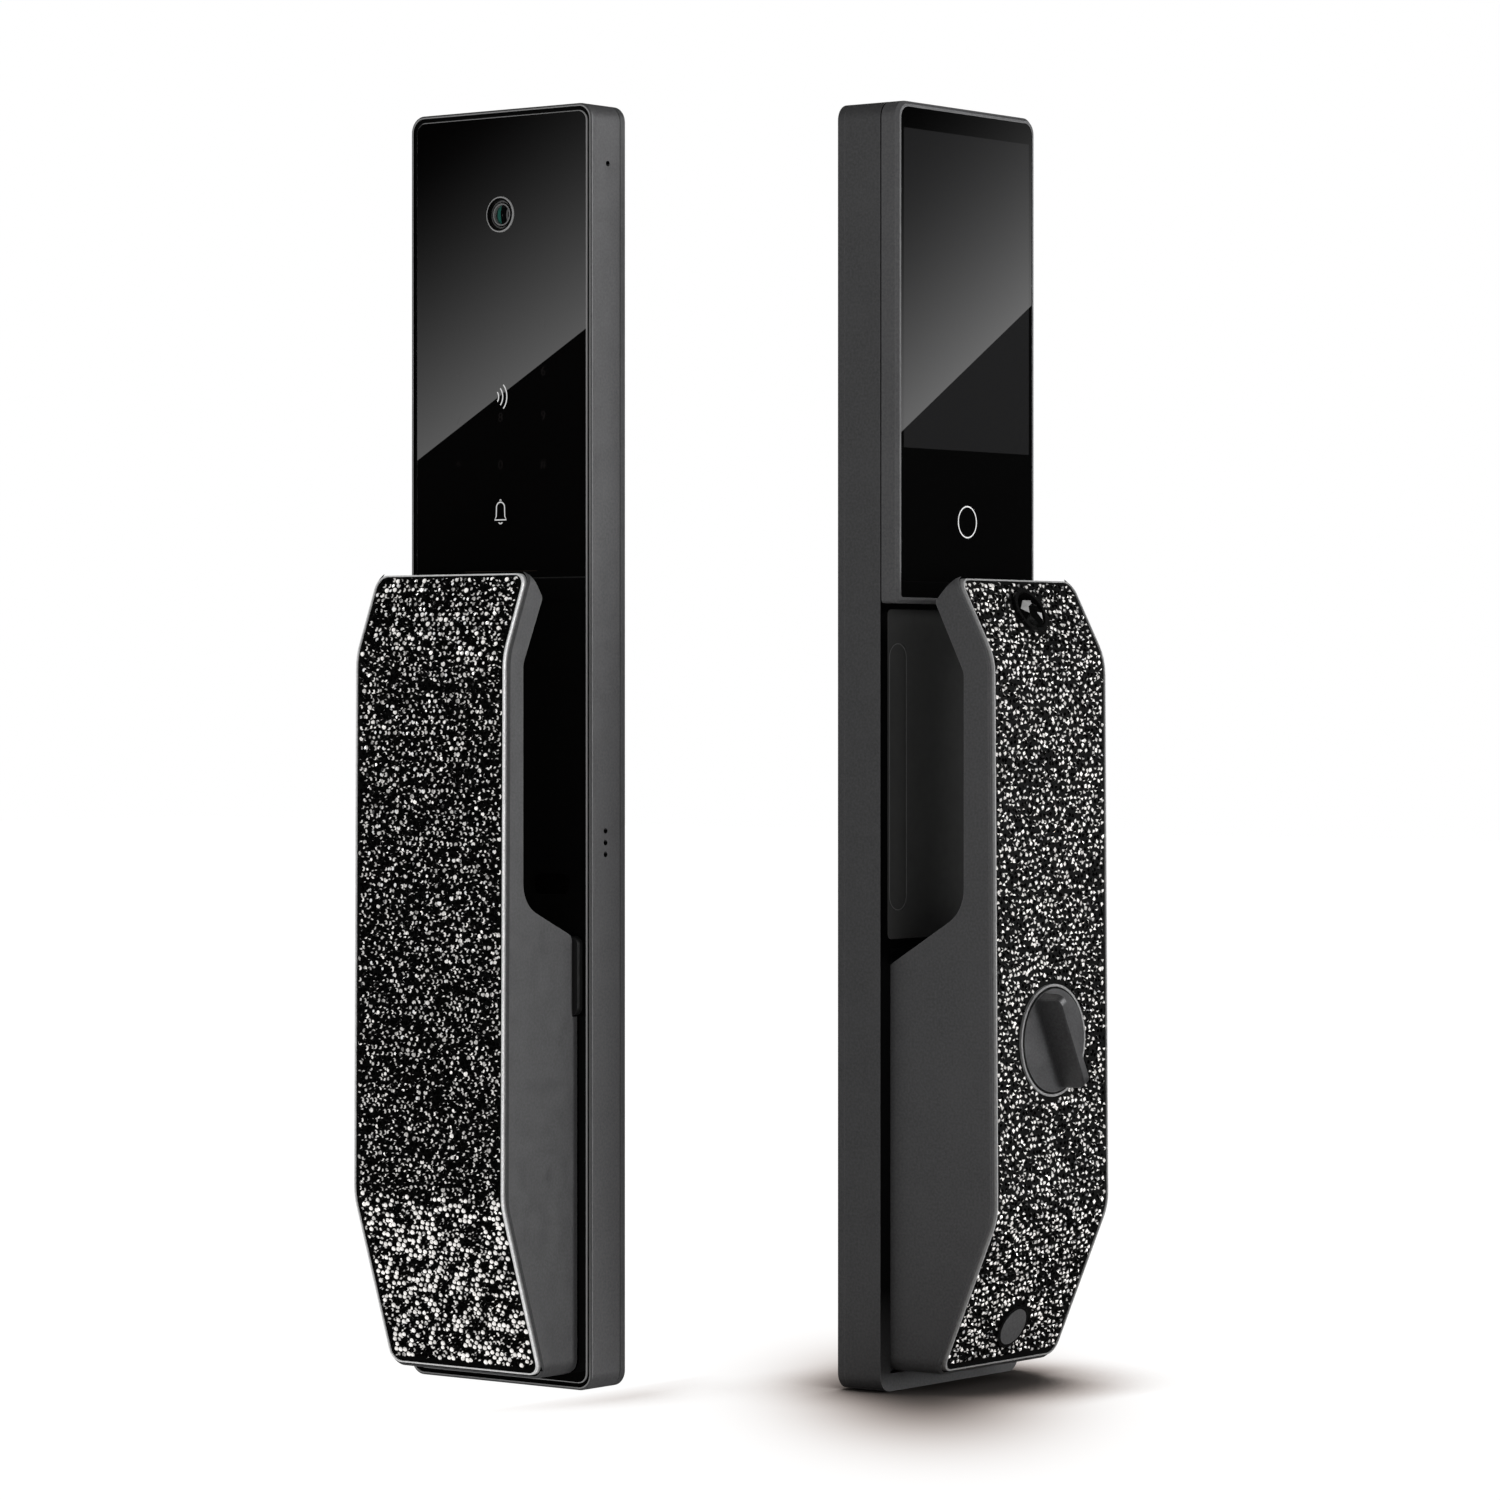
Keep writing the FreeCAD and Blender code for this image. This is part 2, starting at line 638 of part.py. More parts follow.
def turn_bar():
    """Upright grip bar, a little narrower at its front, with rounded corners."""
    half = TURN_BAR_LEN / 2
    front = TURN_FACE - TURN_BAR_H
    root = TURN_FACE + THROUGH
    corners = [(-TURN_BAR_W / 2, root), (-TURN_BAR_TOP_W / 2, front),
               (TURN_BAR_TOP_W / 2, front), (TURN_BAR_W / 2, root)]
    ring = [V(x, y, -half) for x, y in corners]
    bar = Part.Face(Part.makePolygon(ring + ring[:1])).extrude(V(0, 0, TURN_BAR_LEN))
    ends = [e for e in front_edges_of(bar, front) if abs(abs(e.CenterOfMass.z) - half) < 0.01]
    bar = bar.makeFillet(TURN_BAR_ROUND, ends)
    rims = [e for e in front_edges_of(bar, front) if abs(e.CenterOfMass.z) < 0.01]
    bar = bar.makeChamfer(0.4, rims)
    return bar.common(disc(TURN_DISC_R - 0.05, front - THROUGH, root))


def turn_knob():
    """Flat disc with a raised grip bar across it, tilted as it rests."""
    knob = disc(TURN_DISC_R, TURN_FACE, TURN_PLANE + 5.2).fuse(turn_bar())
    knob = knob.cut(disc(SHAFT_R, TURN_PLANE + 2.0, TURN_PLANE + 9))
    knob.rotate(V(0, 0, 0), V(0, 1, 0), -TURN_TILT)
    knob.translate(V(0, 0, TURN_Z))
    return knob


def turn_shaft():
    return disc(SHAFT_R, TURN_PLANE + 2.0, 7.0, 0, TURN_Z)


def spindle_hub():
    """Cup that the thumbturn's shaft drives, with a slot for the bolt's flat tailpiece."""
    hub = disc(HUB_R, 1.5, 16.6, 0, TURN_Z).cut(disc(HUB_BORE_R, 0, 13.0, 0, TURN_Z))
    slot = slab(2.4, TURN_Z - 4.5, TURN_Z + 4.5, 12, 18)
    return hub.cut(slot)


def spindle_bushing():
    ring = disc(BUSHING_R - TOUCH, 11.0, PLATE_BACK, 0, TURN_Z)
    return ring.cut(disc(HUB_R + PIN_CLEAR, 10, PLATE_BACK + 1, 0, TURN_Z))


def along_normal(handle, facet, z, radius, low, high):
    """Cylinder along a facet's outward normal, from low to high above the facet."""
    normal = facet_normal(handle, facet)
    centre = V(0, front_y(handle, 0.0, z), z)
    return Part.makeCylinder(radius, high - low, centre + normal * low, normal)


def button_cup(handle, facet, z, outer_r, button_r, proud, depth):
    """Cup that a button slides in, closed at its inner end."""
    cup = along_normal(handle, facet, z, outer_r, -depth, proud)
    bore_r = button_r + BUTTON_GAP
    return cup.cut(along_normal(handle, facet, z, bore_r, -depth + 1.2, proud + THROUGH))


def polygon_at(centre, normal, side_dir, radius, count, turn):
    up = normal.cross(side_dir)
    points = []
    for k in range(count):
        angle = 2 * math.pi * (k + turn) / count
        points.append(centre + side_dir * (radius * math.cos(angle)) + up * (radius * math.sin(angle)))
    return Part.makePolygon(points + points[:1])


def jewel_button():
    """Cut stone on a round seat."""
    normal = facet_normal(INNER_HANDLE, 2)
    centre = V(0, front_y(INNER_HANDLE, 0.0, JEWEL_Z), JEWEL_Z)
    seat = along_normal(INNER_HANDLE, 2, JEWEL_Z, JEWEL_R, -3.0, 0.4)
    rings = [(0.3, JEWEL_R - 0.1, 0.0), (2.0, JEWEL_R - 1.3, 0.5), (3.1, JEWEL_R - 3.6, 0.0)]
    wires = [polygon_at(centre + normal * h, normal, V(1, 0, 0), r, 8, t) for h, r, t in rings]
    return seat.fuse(Part.makeLoft(wires, True, True))


def button_spring(handle, facet, z, depth, radius):
    normal = facet_normal(handle, facet)
    centre = V(0, front_y(handle, 0.0, z), z)
    spring = coil(radius, 0.5, 0.9, 2.7)
    spring.Placement = FreeCAD.Placement(centre - normal * (depth - 1.5),
                                         FreeCAD.Rotation(V(0, 0, 1), normal))
    return spring


def outer_parts():
    bezel, barrel, lens = camera_parts()
    handle = OUTER_HANDLE
    body = handle_body(handle, OUTER_PIVOT)
    sensor = fingerprint_sensor()
    screws = Part.makeCompound([screw(x, z, PLATE_BACK) for x, z in outer_screws()])
    return {
        "outer_housing": outer_housing(),
        "outer_glass_panel": outer_glass(),
        "outer_rear_cover": outer_rear_cover(),
        "outer_door_gasket": door_gasket(),
        "outer_cover_screws": screws,
        "camera_bezel": bezel,
        "camera_barrel": barrel,
        "camera_lens": lens,
        "touch_keypad_board": board(56.0, 236.0, 412.0, 3.0, 1.2, [(0, CAMERA_Z, 5.0)]),
        "outer_control_board": board(40.0, 190.0, 366.0, 10.6, 1.6, [(0, CABLE_Z, 5.0)]),
        "door_microphone": rod(3.0, WIDTH / 2 - WALL - 3.0, WIDTH / 2 - WALL, *MIC),
        "door_speaker": slab(5.6, 168.0, 198.0, 3.2, 13.4, 2.0, WIDTH / 2 - WALL - 2.8),
        "handle_guide_block": guide_block(),
        "outer_handle_body": body.cut(sensor),
        "outer_handle_trim": handle_trim(handle),
        "outer_stone_panel": stone_panel(handle),
        "outer_drive_stem": stem(handle, OUTER_STEM_Z, 12.6),
        "fingerprint_sensor": sensor,
        "outer_pivot_pin": rod(PIN_R, -PIN_HALF, PIN_HALF, *OUTER_PIVOT),
        "outer_return_spring": pivot_spring(OUTER_PIVOT),
    }


def inner_parts():
    handle = INNER_HANDLE
    cup_hole = disc(TURN_CUP_R, FRONT_CLEAR, TURN_PLANE + TURN_CUP_DEPTH, 0, TURN_Z)
    jewel_hole = along_normal(handle, 2, JEWEL_Z, JEWEL_CUP_R, -8.0, 6)
    low_hole = along_normal(handle, 0, LOW_BUTTON_Z, LOW_CUP_R, -7.0, 6)
    body = handle_body(handle, INNER_PIVOT)
    panel = stone_panel(handle)
    for hole in (cup_hole, jewel_hole, low_hole):
        body = body.cut(hole)
        panel = panel.cut(hole)
    screws = Part.makeCompound([screw(x, z, PLATE_BACK) for x, z in inner_screws()])
    return {
        "inner_housing": inner_housing(),
        "inner_rear_plate": inner_rear_plate(),
        "inner_door_gasket": door_gasket(),
        "inner_cover_screws": screws,
        "display_housing": display_housing(),
        "display_glass": display_glass(),
        "display_panel": display_panel(),
        "inner_control_board": board(58.0, 274.0, 418.0, 7.0, 1.6, [(0, CABLE_Z, 5.0)]),
        "battery_pack": slab(58.0, 155.0, 256.0, 3.4, 13.8, 4.0),
        "battery_cover": battery_cover(),
        "cover_grip_strip": cover_strip(),
        "inner_handle_body": body,
        "inner_handle_trim": handle_trim(handle),
        "inner_stone_panel": panel,
        "inner_drive_stem": stem(handle, INNER_STEM_Z, 8.0),
        "inner_pivot_pin": rod(PIN_R, -PIN_HALF, PIN_HALF, *INNER_PIVOT),
        "inner_return_spring": pivot_spring(INNER_PIVOT),
        "thumbturn_cup": turn_cup(),
        "thumbturn_knob": turn_knob(),
        "thumbturn_shaft": turn_shaft(),
        "spindle_hub": spindle_hub(),
        "spindle_bushing": spindle_bushing(),
        "jewel_button_cup": button_cup(handle, 2, JEWEL_Z, JEWEL_CUP_R, JEWEL_R, 0.7, 8.0),
        "jewel_button": jewel_button(),
        "jewel_button_spring": button_spring(handle, 2, JEWEL_Z, 8.0, 4.2),
        "lower_button_cup": button_cup(handle, 0, LOW_BUTTON_Z, LOW_CUP_R, LOW_BUTTON_R, 0.4, 7.0),
        "lower_button": along_normal(handle, 0, LOW_BUTTON_Z, LOW_BUTTON_R, -2.4, 0.5),
        "lower_button_spring": button_spring(handle, 0, LOW_BUTTON_Z, 7.0, 4.2),
    }


def knob_front():
    return TURN_FACE - TURN_BAR_H


def main():
    os.makedirs("parts", exist_ok=True)
    x_mid = (INNER_FRONT_X - knob_front() - WIDTH) / 2
    y_mid = (INNER_SIDE_Y + WIDTH + OUTER_HANDLE["lower_bend_y"]) / 2
    for name, shape in outer_parts().items():
        shape.translate(V(-WIDTH / 2 - x_mid, -y_mid, 0))
        shape.exportStep("parts/" + name + ".step")
    for name, shape in inner_parts().items():
        shape.rotate(V(0, 0, 0), V(0, 0, 1), 90)
        shape.translate(V(INNER_FRONT_X - x_mid, INNER_SIDE_Y + WIDTH / 2 - y_mid, 0))
        shape.exportStep("parts/" + name + ".step")


main()
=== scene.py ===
import json
import math
import random

import bmesh
import bpy
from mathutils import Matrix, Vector, noise
from mathutils.bvhtree import BVHTree


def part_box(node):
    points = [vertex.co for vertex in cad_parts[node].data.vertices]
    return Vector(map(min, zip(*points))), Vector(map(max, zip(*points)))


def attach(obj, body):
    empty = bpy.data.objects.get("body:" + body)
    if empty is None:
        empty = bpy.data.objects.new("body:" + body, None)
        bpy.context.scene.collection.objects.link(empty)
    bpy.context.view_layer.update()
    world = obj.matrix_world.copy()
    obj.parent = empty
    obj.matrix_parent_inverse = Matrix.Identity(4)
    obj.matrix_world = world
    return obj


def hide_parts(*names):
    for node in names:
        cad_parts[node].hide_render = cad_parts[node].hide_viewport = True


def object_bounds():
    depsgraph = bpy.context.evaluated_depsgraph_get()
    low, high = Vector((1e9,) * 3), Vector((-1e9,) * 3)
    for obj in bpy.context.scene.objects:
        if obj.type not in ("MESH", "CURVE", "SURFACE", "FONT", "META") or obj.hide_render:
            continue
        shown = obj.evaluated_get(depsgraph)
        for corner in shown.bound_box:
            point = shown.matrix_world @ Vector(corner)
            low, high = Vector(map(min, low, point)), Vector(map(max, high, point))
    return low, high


MM = 0.001
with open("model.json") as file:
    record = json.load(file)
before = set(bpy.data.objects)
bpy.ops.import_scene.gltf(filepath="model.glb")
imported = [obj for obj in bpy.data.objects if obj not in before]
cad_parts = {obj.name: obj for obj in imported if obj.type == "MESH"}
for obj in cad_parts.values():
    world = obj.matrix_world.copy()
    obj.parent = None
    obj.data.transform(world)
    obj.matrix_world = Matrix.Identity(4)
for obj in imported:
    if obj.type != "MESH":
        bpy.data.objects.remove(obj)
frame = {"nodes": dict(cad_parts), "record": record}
CAD_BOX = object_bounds()
NODES = frame["nodes"]


# ---------------------------------------------------------------- materials
class Look:
    """One procedural material round a Principled shader. Sizes are in millimetres."""

    def __init__(self, name, colour, roughness=0.5, metallic=0.0, specular=0.5):
        self.material = bpy.data.materials.new(name)
        self.material.use_nodes = True
        tree = self.material.node_tree
        self.nodes = tree.nodes
        self.links = tree.links
        self.shader = self.nodes["Principled BSDF"]
        self.place = self.nodes.new("ShaderNodeTexCoord").outputs["Object"]
        self.put("Base Color", (*colour, 1.0))
        self.put("Roughness", roughness)
        self.put("Metallic", metallic)
        self.put("Specular IOR Level", specular)

    def put(self, socket, value):
        self.shader.inputs[socket].default_value = value

    def feed(self, socket, output):
        self.links.new(output, self.shader.inputs[socket])

    def noise(self, size, detail=2.0, stretch=(1.0, 1.0, 1.0)):
        mapping = self.nodes.new("ShaderNodeMapping")
        mapping.inputs["Scale"].default_value = stretch
        self.links.new(self.place, mapping.inputs["Vector"])
        node = self.nodes.new("ShaderNodeTexNoise")
        node.inputs["Scale"].default_value = 1.0 / (size * MM)
        node.inputs["Detail"].default_value = detail
        self.links.new(mapping.outputs["Vector"], node.inputs["Vector"])
        return node.outputs["Fac"]

    def attribute(self, name):
        node = self.nodes.new("ShaderNodeAttribute")
        node.attribute_name = name
        return node.outputs["Fac"]

    def axis(self, name):
        node = self.nodes.new("ShaderNodeSeparateXYZ")
        self.links.new(self.place, node.inputs["Vector"])
        return node.outputs[name]

    def normal(self, name):
        """One axis of the surface's normal, in the object's own frame."""
        node = self.nodes.new("ShaderNodeSeparateXYZ")
        self.links.new(self.nodes.new("ShaderNodeTexCoord").outputs["Normal"], node.inputs["Vector"])
        return node.outputs[name]

    def from_middle(self, name, node):
        """Signed distance from a node's middle plane as a share of its half width."""
        low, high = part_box(node)
        index = "XYZ".index(name)
        return self.remap(self.axis(name), low[index], high[index], -1.0, 1.0)

    def remap(self, value, low, high, new_low, new_high):
        node = self.nodes.new("ShaderNodeMapRange")
        self.links.new(value, node.inputs["Value"])
        node.clamp = True
        limits = (("From Min", low), ("From Max", high), ("To Min", new_low), ("To Max", new_high))
        for socket, number in limits:
            node.inputs[socket].default_value = number
        return node.outputs["Result"]

    def maths(self, operation, first, second):
        node = self.nodes.new("ShaderNodeMath")
        node.operation = operation
        for socket, value in zip(node.inputs, (first, second)):
            if isinstance(value, (int, float)):
                socket.default_value = value
            else:
                self.links.new(value, socket)
        return node.outputs["Value"]

    def colours(self, factor, first, second):
        node = self.nodes.new("ShaderNodeMix")
        node.data_type = "RGBA"
        self.links.new(factor, node.inputs["Factor"])
        for socket, value in zip((node.inputs[6], node.inputs[7]), (first, second)):
            if isinstance(value, tuple):
                socket.default_value = (*value, 1.0)
            else:
                self.links.new(value, socket)
        return node.outputs[2]

    def bump(self, height, depth, strength=1.0):
        node = self.nodes.new("ShaderNodeBump")
        node.inputs["Strength"].default_value = strength
        node.inputs["Distance"].default_value = depth * MM
        self.links.new(height, node.inputs["Height"])
        self.feed("Normal", node.outputs["Normal"])

    def edges(self, radius):
        """1 near a sharp edge, 0 on the flat."""
        bevel = self.nodes.new("ShaderNodeBevel")
        bevel.samples = 4
        bevel.inputs["Radius"].default_value = radius * MM
        flat = self.nodes.new("ShaderNodeNewGeometry")
        dot = self.nodes.new("ShaderNodeVectorMath")
        dot.operation = "DOT_PRODUCT"
        self.links.new(bevel.outputs["Normal"], dot.inputs[0])
        self.links.new(flat.outputs["Normal"], dot.inputs[1])
        return self.remap(dot.outputs["Value"], 0.97, 0.80, 0.0, 1.0)


def scaled(colour, factor):
    return tuple(channel * factor for channel in colour)


def both(look, first, second):
    return look.maths("MULTIPLY", first, second)


def between(look, axis, low, high):
    """1 where a coordinate lies between two places."""
    above = look.maths("GREATER_THAN", look.axis(axis), low)
    return both(look, above, look.maths("LESS_THAN", look.axis(axis), high))


def painted_metal(name, colour, roughness, edge_wear_and_highlight=1.9, metallic=0.5, front=None):
    """Fine satin powder coat on a casting: soft grain, slight cloudiness, lighter on the edges, partly a
    thinner coat and partly a painted highlight.

    front is a function that takes the look and its colour and gives the front its own colours, painted shade
    and highlights among them."""
    look = Look(name, colour, roughness, metallic)
    cloud = look.remap(look.noise(14.0, 3.0), 0.3, 0.7, 0.0, 1.0)
    body = look.colours(cloud, scaled(colour, 0.95), scaled(colour, 1.05))
    grain = look.remap(look.noise(0.85, 1.0), 0.30, 0.70, 0.0, 1.0)
    body = look.colours(grain, body, scaled(colour, 1.28))
    # Lighter edges: partly a thinner, rubbed coat, partly a painted highlight where edges catch the light.
    body = look.colours(look.edges(0.45), body, scaled(colour, edge_wear_and_highlight))
    if front:
        body = front(look, body)
    look.feed("Base Color", body)
    look.feed("Roughness", look.remap(look.noise(5.0, 4.0), 0.3, 0.7, roughness - 0.05, roughness + 0.05))
    look.bump(look.noise(0.28, 3.0), 0.012, 0.8)
    return look.material


DEEP_BLACK = (0.0012, 0.0012, 0.0012)
# Painted highlight on the frame's lip round the glass; the lip reaches this deep from the front.
LIP_PAINTED_HIGHLIGHT = (0.42, 0.42, 0.42)
LIP_DEPTH = 0.1 * MM
# Heights over which the painted shade on the inside unit's front thins out, and the share of it left at the
# foot.
FOOT_FADE = (2 * MM, 34 * MM)
FOOT_SHARE = 0.15
RECESS_RIM = 0.72 * MM
# Painted highlight as a bright outer line on the camera bezel; the line and the black ring start at these
# shares of the radius squared.
BEZEL_PAINTED_HIGHLIGHT = (0.40, 0.40, 0.40)
BEZEL_LINE = 0.84
BEZEL_RING = 0.62
BARREL_RING = 0.85


def glass_frame(look, body):
    """Outer sides keep their paint; the lip round the glass is painted bright as a painted highlight, and
    the groove inside it is painted black as painted shade.
    """
    low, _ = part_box("outer_housing")
    sideways = both(look, look.normal("X"), look.from_middle("X", "outer_housing"))
    upward = both(look, look.normal("Z"), look.from_middle("Z", "outer_housing"))
    outward = look.maths("GREATER_THAN", look.maths("ADD", sideways, upward), 0.05)
    # The lip carries a painted highlight; the groove behind it is painted black as painted shade.
    lip = look.maths("LESS_THAN", look.axis("Y"), low.y + LIP_DEPTH)
    front = look.colours(lip, DEEP_BLACK, LIP_PAINTED_HIGHLIGHT)
    return look.colours(outward, front, body)


def shaded_front(look, body):
    """The front round the handle is painted black as painted shade beside the handle, thinning to grey
    toward its foot, where more light reaches.
    """
    low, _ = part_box("inner_housing")
    front = look.maths("GREATER_THAN", look.normal("X"), 0.8)
    height = look.remap(look.axis("Z"), low.z + FOOT_FADE[0], low.z + FOOT_FADE[1], FOOT_SHARE, 1.0)
    return look.colours(both(look, front, height), body, DEEP_BLACK)


def recess_painted_shade(node, across, facing, sign):
    """Painted shade: the recess between the bright trim and the rim of a handle body is painted black."""

    def paint(look, body):
        low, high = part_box(node)
        index = "XYZ".index(across)
        inside = between(look, across, low[index] + RECESS_RIM, high[index] - RECESS_RIM)
        upright = between(look, "Z", low.z + RECESS_RIM, high.z - RECESS_RIM)
        front = look.maths("GREATER_THAN", both(look, look.normal(facing), sign), 0.6)
        recess = both(look, both(look, inside, upright), front)
        return look.colours(recess, body, DEEP_BLACK)

    return paint


def from_axis(look, node):
    """Square of the distance from a round node's axis, as a share of its radius squared."""
    across = look.from_middle("X", node)
    height = look.from_middle("Z", node)
    return look.maths("ADD", both(look, across, across), both(look, height, height))


def bezel_rings(look, body):
    """A bright outer line as a painted highlight, then a black ring, then the metal's own grey."""
    squares = from_axis(look, "camera_bezel")
    ring = look.colours(look.maths("GREATER_THAN", squares, BEZEL_RING), body, DEEP_BLACK)
    return look.colours(look.maths("GREATER_THAN", squares, BEZEL_LINE), ring, BEZEL_PAINTED_HIGHLIGHT)


def barrel_ring(look, body):
    """Grey inside the rim, black on it."""
    inside = look.maths("LESS_THAN", from_axis(look, "camera_barrel"), BARREL_RING)
    return look.colours(inside, DEEP_BLACK, body)


def faint_smears(look):
    """Polished glass with a few slightly duller smears."""
    smears = look.noise(22.0, 5.0, (1.0, 1.0, 0.35))
    look.feed("Roughness", look.remap(smears, 0.55, 0.8, 0.002, GLASS_POLISH))


def edged_glass(name, colour, facing):
    """Black glass whose bevelled edge is painted light grey as a painted highlight."""
    look = Look(name, colour, GLASS_POLISH)
    flat = look.maths("GREATER_THAN", look.maths("ABSOLUTE", look.normal(facing), 0.0), 0.97)
    look.feed("Base Color", look.colours(flat, GLASS_EDGE_HIGHLIGHT, colour))
    faint_smears(look)
    return look.material


def black_glass(name, colour):
    """Back-printed black glass, polished, with faint smears."""
    look = Look(name, colour, GLASS_POLISH)
    faint_smears(look)
    return look.material


GLASS_POLISH = 0.012
# Light grey of the painted highlight on the glass's bevelled edge.
GLASS_EDGE_HIGHLIGHT = (0.30, 0.30, 0.30)


def moulded_plastic(name, colour, roughness, grain=0.35, specular=0.5):
    look = Look(name, colour, roughness, 0.0, specular)
    look.feed("Base Color", look.colours(look.noise(9.0, 3.0), scaled(colour, 0.9), scaled(colour, 1.1)))
    look.feed("Roughness", look.remap(look.noise(3.0, 3.0), 0.3, 0.7, roughness - 0.06, roughness + 0.06))
    look.bump(look.noise(grain, 2.0), 0.015, 0.7)
    return look.material


def polished_metal(name, colour, roughness, brushed=(1.0, 1.0, 0.05)):
    look = Look(name, colour, roughness, 1.0)
    streaks = look.noise(0.4, 3.0, brushed)
    look.feed("Roughness", look.remap(streaks, 0.3, 0.7, roughness * 0.7, roughness * 1.3))
    look.feed("Base Color", look.colours(look.noise(6.0, 2.0), scaled(colour, 0.92), scaled(colour, 1.05)))
    look.bump(streaks, 0.004, 0.5)
    return look.material


def crystal(name):
    """Foiled black crystal: its black is the stones' own; the lighter facets, up to silver, are painted
    reflections, and they glow a little as painted light.
    """
    look = Look(name, (0.01, 0.01, 0.01), 0.05, 0.0, 0.22)
    painted_glint = look.attribute("painted_glint")
    look.feed("Base Color", look.colours(painted_glint, (0.001, 0.001, 0.001), (1.0, 0.975, 0.945)))
    look.feed("Roughness", look.remap(look.noise(1.1, 1.0), 0.3, 0.7, 0.03, 0.09))
    # Painted light: the bright facets glow a little.
    look.put("Emission Color", (1.0, 0.975, 0.945, 1.0))
    look.feed("Emission Strength", look.maths("MULTIPLY", painted_glint, STONE_PAINTED_GLOW))
    return look.material


# Strength of the painted glow on the bright facets.
STONE_PAINTED_GLOW = 0.32


GLASS_BORDER = (0.001, 0.001, 0.001)
SCREEN_TONE = (0.010, 0.010, 0.0103)


def display_surface(name):
    """Black cover glass with the slightly lighter screen behind it."""
    look = Look(name, (0.002, 0.002, 0.002), GLASS_POLISH)
    low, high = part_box("display_panel")
    inside = both(look, between(look, "Z", low.z, high.z), between(look, "Y", low.y, high.y))
    look.feed("Base Color", look.colours(inside, GLASS_BORDER, SCREEN_TONE))
    faint_smears(look)
    return look.material


def ink(name, colour, glow=0.0):
    look = Look(name, colour, 0.35, 0.0, 0.05)
    look.feed("Base Color", look.colours(look.noise(0.5, 1.0), scaled(colour, 0.9), colour))
    if glow:
        look.put("Emission Color", (*colour, 1.0))
        look.put("Emission Strength", glow)
    return look.material


HOUSING_GREY = (0.086, 0.086, 0.088)
LOOKS = {
    "housing_grey": painted_metal("housing_paint", HOUSING_GREY, 0.42),
    "knob_grey": painted_metal("knob_paint", (0.13, 0.13, 0.133), 0.38, 1.7, 0.85),
    "gloss_black": moulded_plastic("gloss_black", (0.006, 0.006, 0.006), 0.22),
    "black_plastic": moulded_plastic("black_plastic", (0.010, 0.010, 0.010), 0.38),
    "rubber": moulded_plastic("rubber", (0.014, 0.014, 0.014), 0.75, 0.6),
    "steel": polished_metal("steel", (0.55, 0.55, 0.56), 0.32),
    "brass": polished_metal("brass", (0.62, 0.46, 0.20), 0.30),
    "stones": moulded_plastic("stone_backing", (0.002, 0.002, 0.002), 0.55, 0.5, 0.1),
    "jewel": black_glass("jewel_black", (0.003, 0.003, 0.003)),
    "display": black_glass("display_black", (0.004, 0.004, 0.005)),
    "circuit_board": moulded_plastic("circuit_board", (0.010, 0.060, 0.028), 0.45, 0.8),
    "battery_wrap": moulded_plastic("battery_wrap", (0.030, 0.060, 0.110), 0.40, 1.2),
}


def lens_coating(name):
    """Dark lens with a painted green reflection, as from its anti-reflection coating, on one side."""
    look = Look(name, (0.002, 0.003, 0.003), 0.05)
    low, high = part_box("camera_lens")
    width = high.x - low.x
    teal_reflection = between(look, "X", low.x + 0.10 * width, low.x + 0.38 * width)
    look.feed("Base Color", look.colours(teal_reflection, (0.002, 0.002, 0.002), (0.016, 0.100, 0.080)))
    return look.material


# The trims' light grey is partly their own light metal and partly a painted reflection.
TRIM = painted_metal("trim_metal_and_painted_reflection", (0.30, 0.30, 0.30), 0.35, 1.2, 0.3)
RING = painted_metal("ring_metal", (0.20, 0.20, 0.20), 0.35, 1.2, 0.3)
CUP_BLACK = moulded_plastic("cup_black", (0.004, 0.004, 0.004), 0.30, 0.8, 0.2)
COVER_BLACK = moulded_plastic("cover_black", (0.040, 0.040, 0.0395), 0.50, 0.8, 0.12)
NODE_LOOKS = {
    # Painted light: the outer housing, the display housing and the inside handle take the one housing grey
    # made lighter, 1.2, 1.35 and 1.12 times, for the brighter light on them.
    "outer_housing": painted_metal("outer_housing_paint_lighter_copy", scaled(HOUSING_GREY, 1.2), 0.42,
                                   front=glass_frame),
    "inner_housing": painted_metal("inner_housing_paint", HOUSING_GREY, 0.42, front=shaded_front),
    "outer_glass_panel": edged_glass("panel_glass", (0.0012, 0.0011, 0.0011), "Y"),
    "display_housing": painted_metal("display_housing_paint_lighter_copy", scaled(HOUSING_GREY, 1.35), 0.40),
    "outer_handle_body": painted_metal("outer_handle_paint", HOUSING_GREY, 0.40,
                                       front=recess_painted_shade("outer_handle_body", "X", "Y", -1)),
    "inner_handle_body": painted_metal("inner_handle_paint_lighter_copy", scaled(HOUSING_GREY, 1.12), 0.40,
                                       front=recess_painted_shade("inner_handle_body", "Y", "X", 1)),
    "display_glass": display_surface("display_cover_glass"),
    # The outer trim's near-white is partly its own light metal and partly a painted reflection.
    "outer_handle_trim": painted_metal("light_trim_and_painted_reflection", (0.80, 0.80, 0.80), 0.35, 1.1, 0.3),
    "inner_handle_trim": TRIM,
    "thumbturn_cup": RING,
    "lower_button_cup": CUP_BLACK,
    "lower_button": painted_metal("button_paint", (0.26, 0.26, 0.265), 0.38, 1.7, 0.85),
    "jewel_button_cup": CUP_BLACK,
    "camera_bezel": painted_metal("bezel_metal", (0.14, 0.14, 0.14), 0.30, 1.8, 0.3, front=bezel_rings),
    "camera_barrel": painted_metal("barrel_metal", (0.20, 0.20, 0.20), 0.35, 1.2, 0.3, front=barrel_ring),
    "camera_lens": lens_coating("lens_coating"),
    "battery_cover": COVER_BLACK,
    "cover_grip_strip": COVER_BLACK,
}


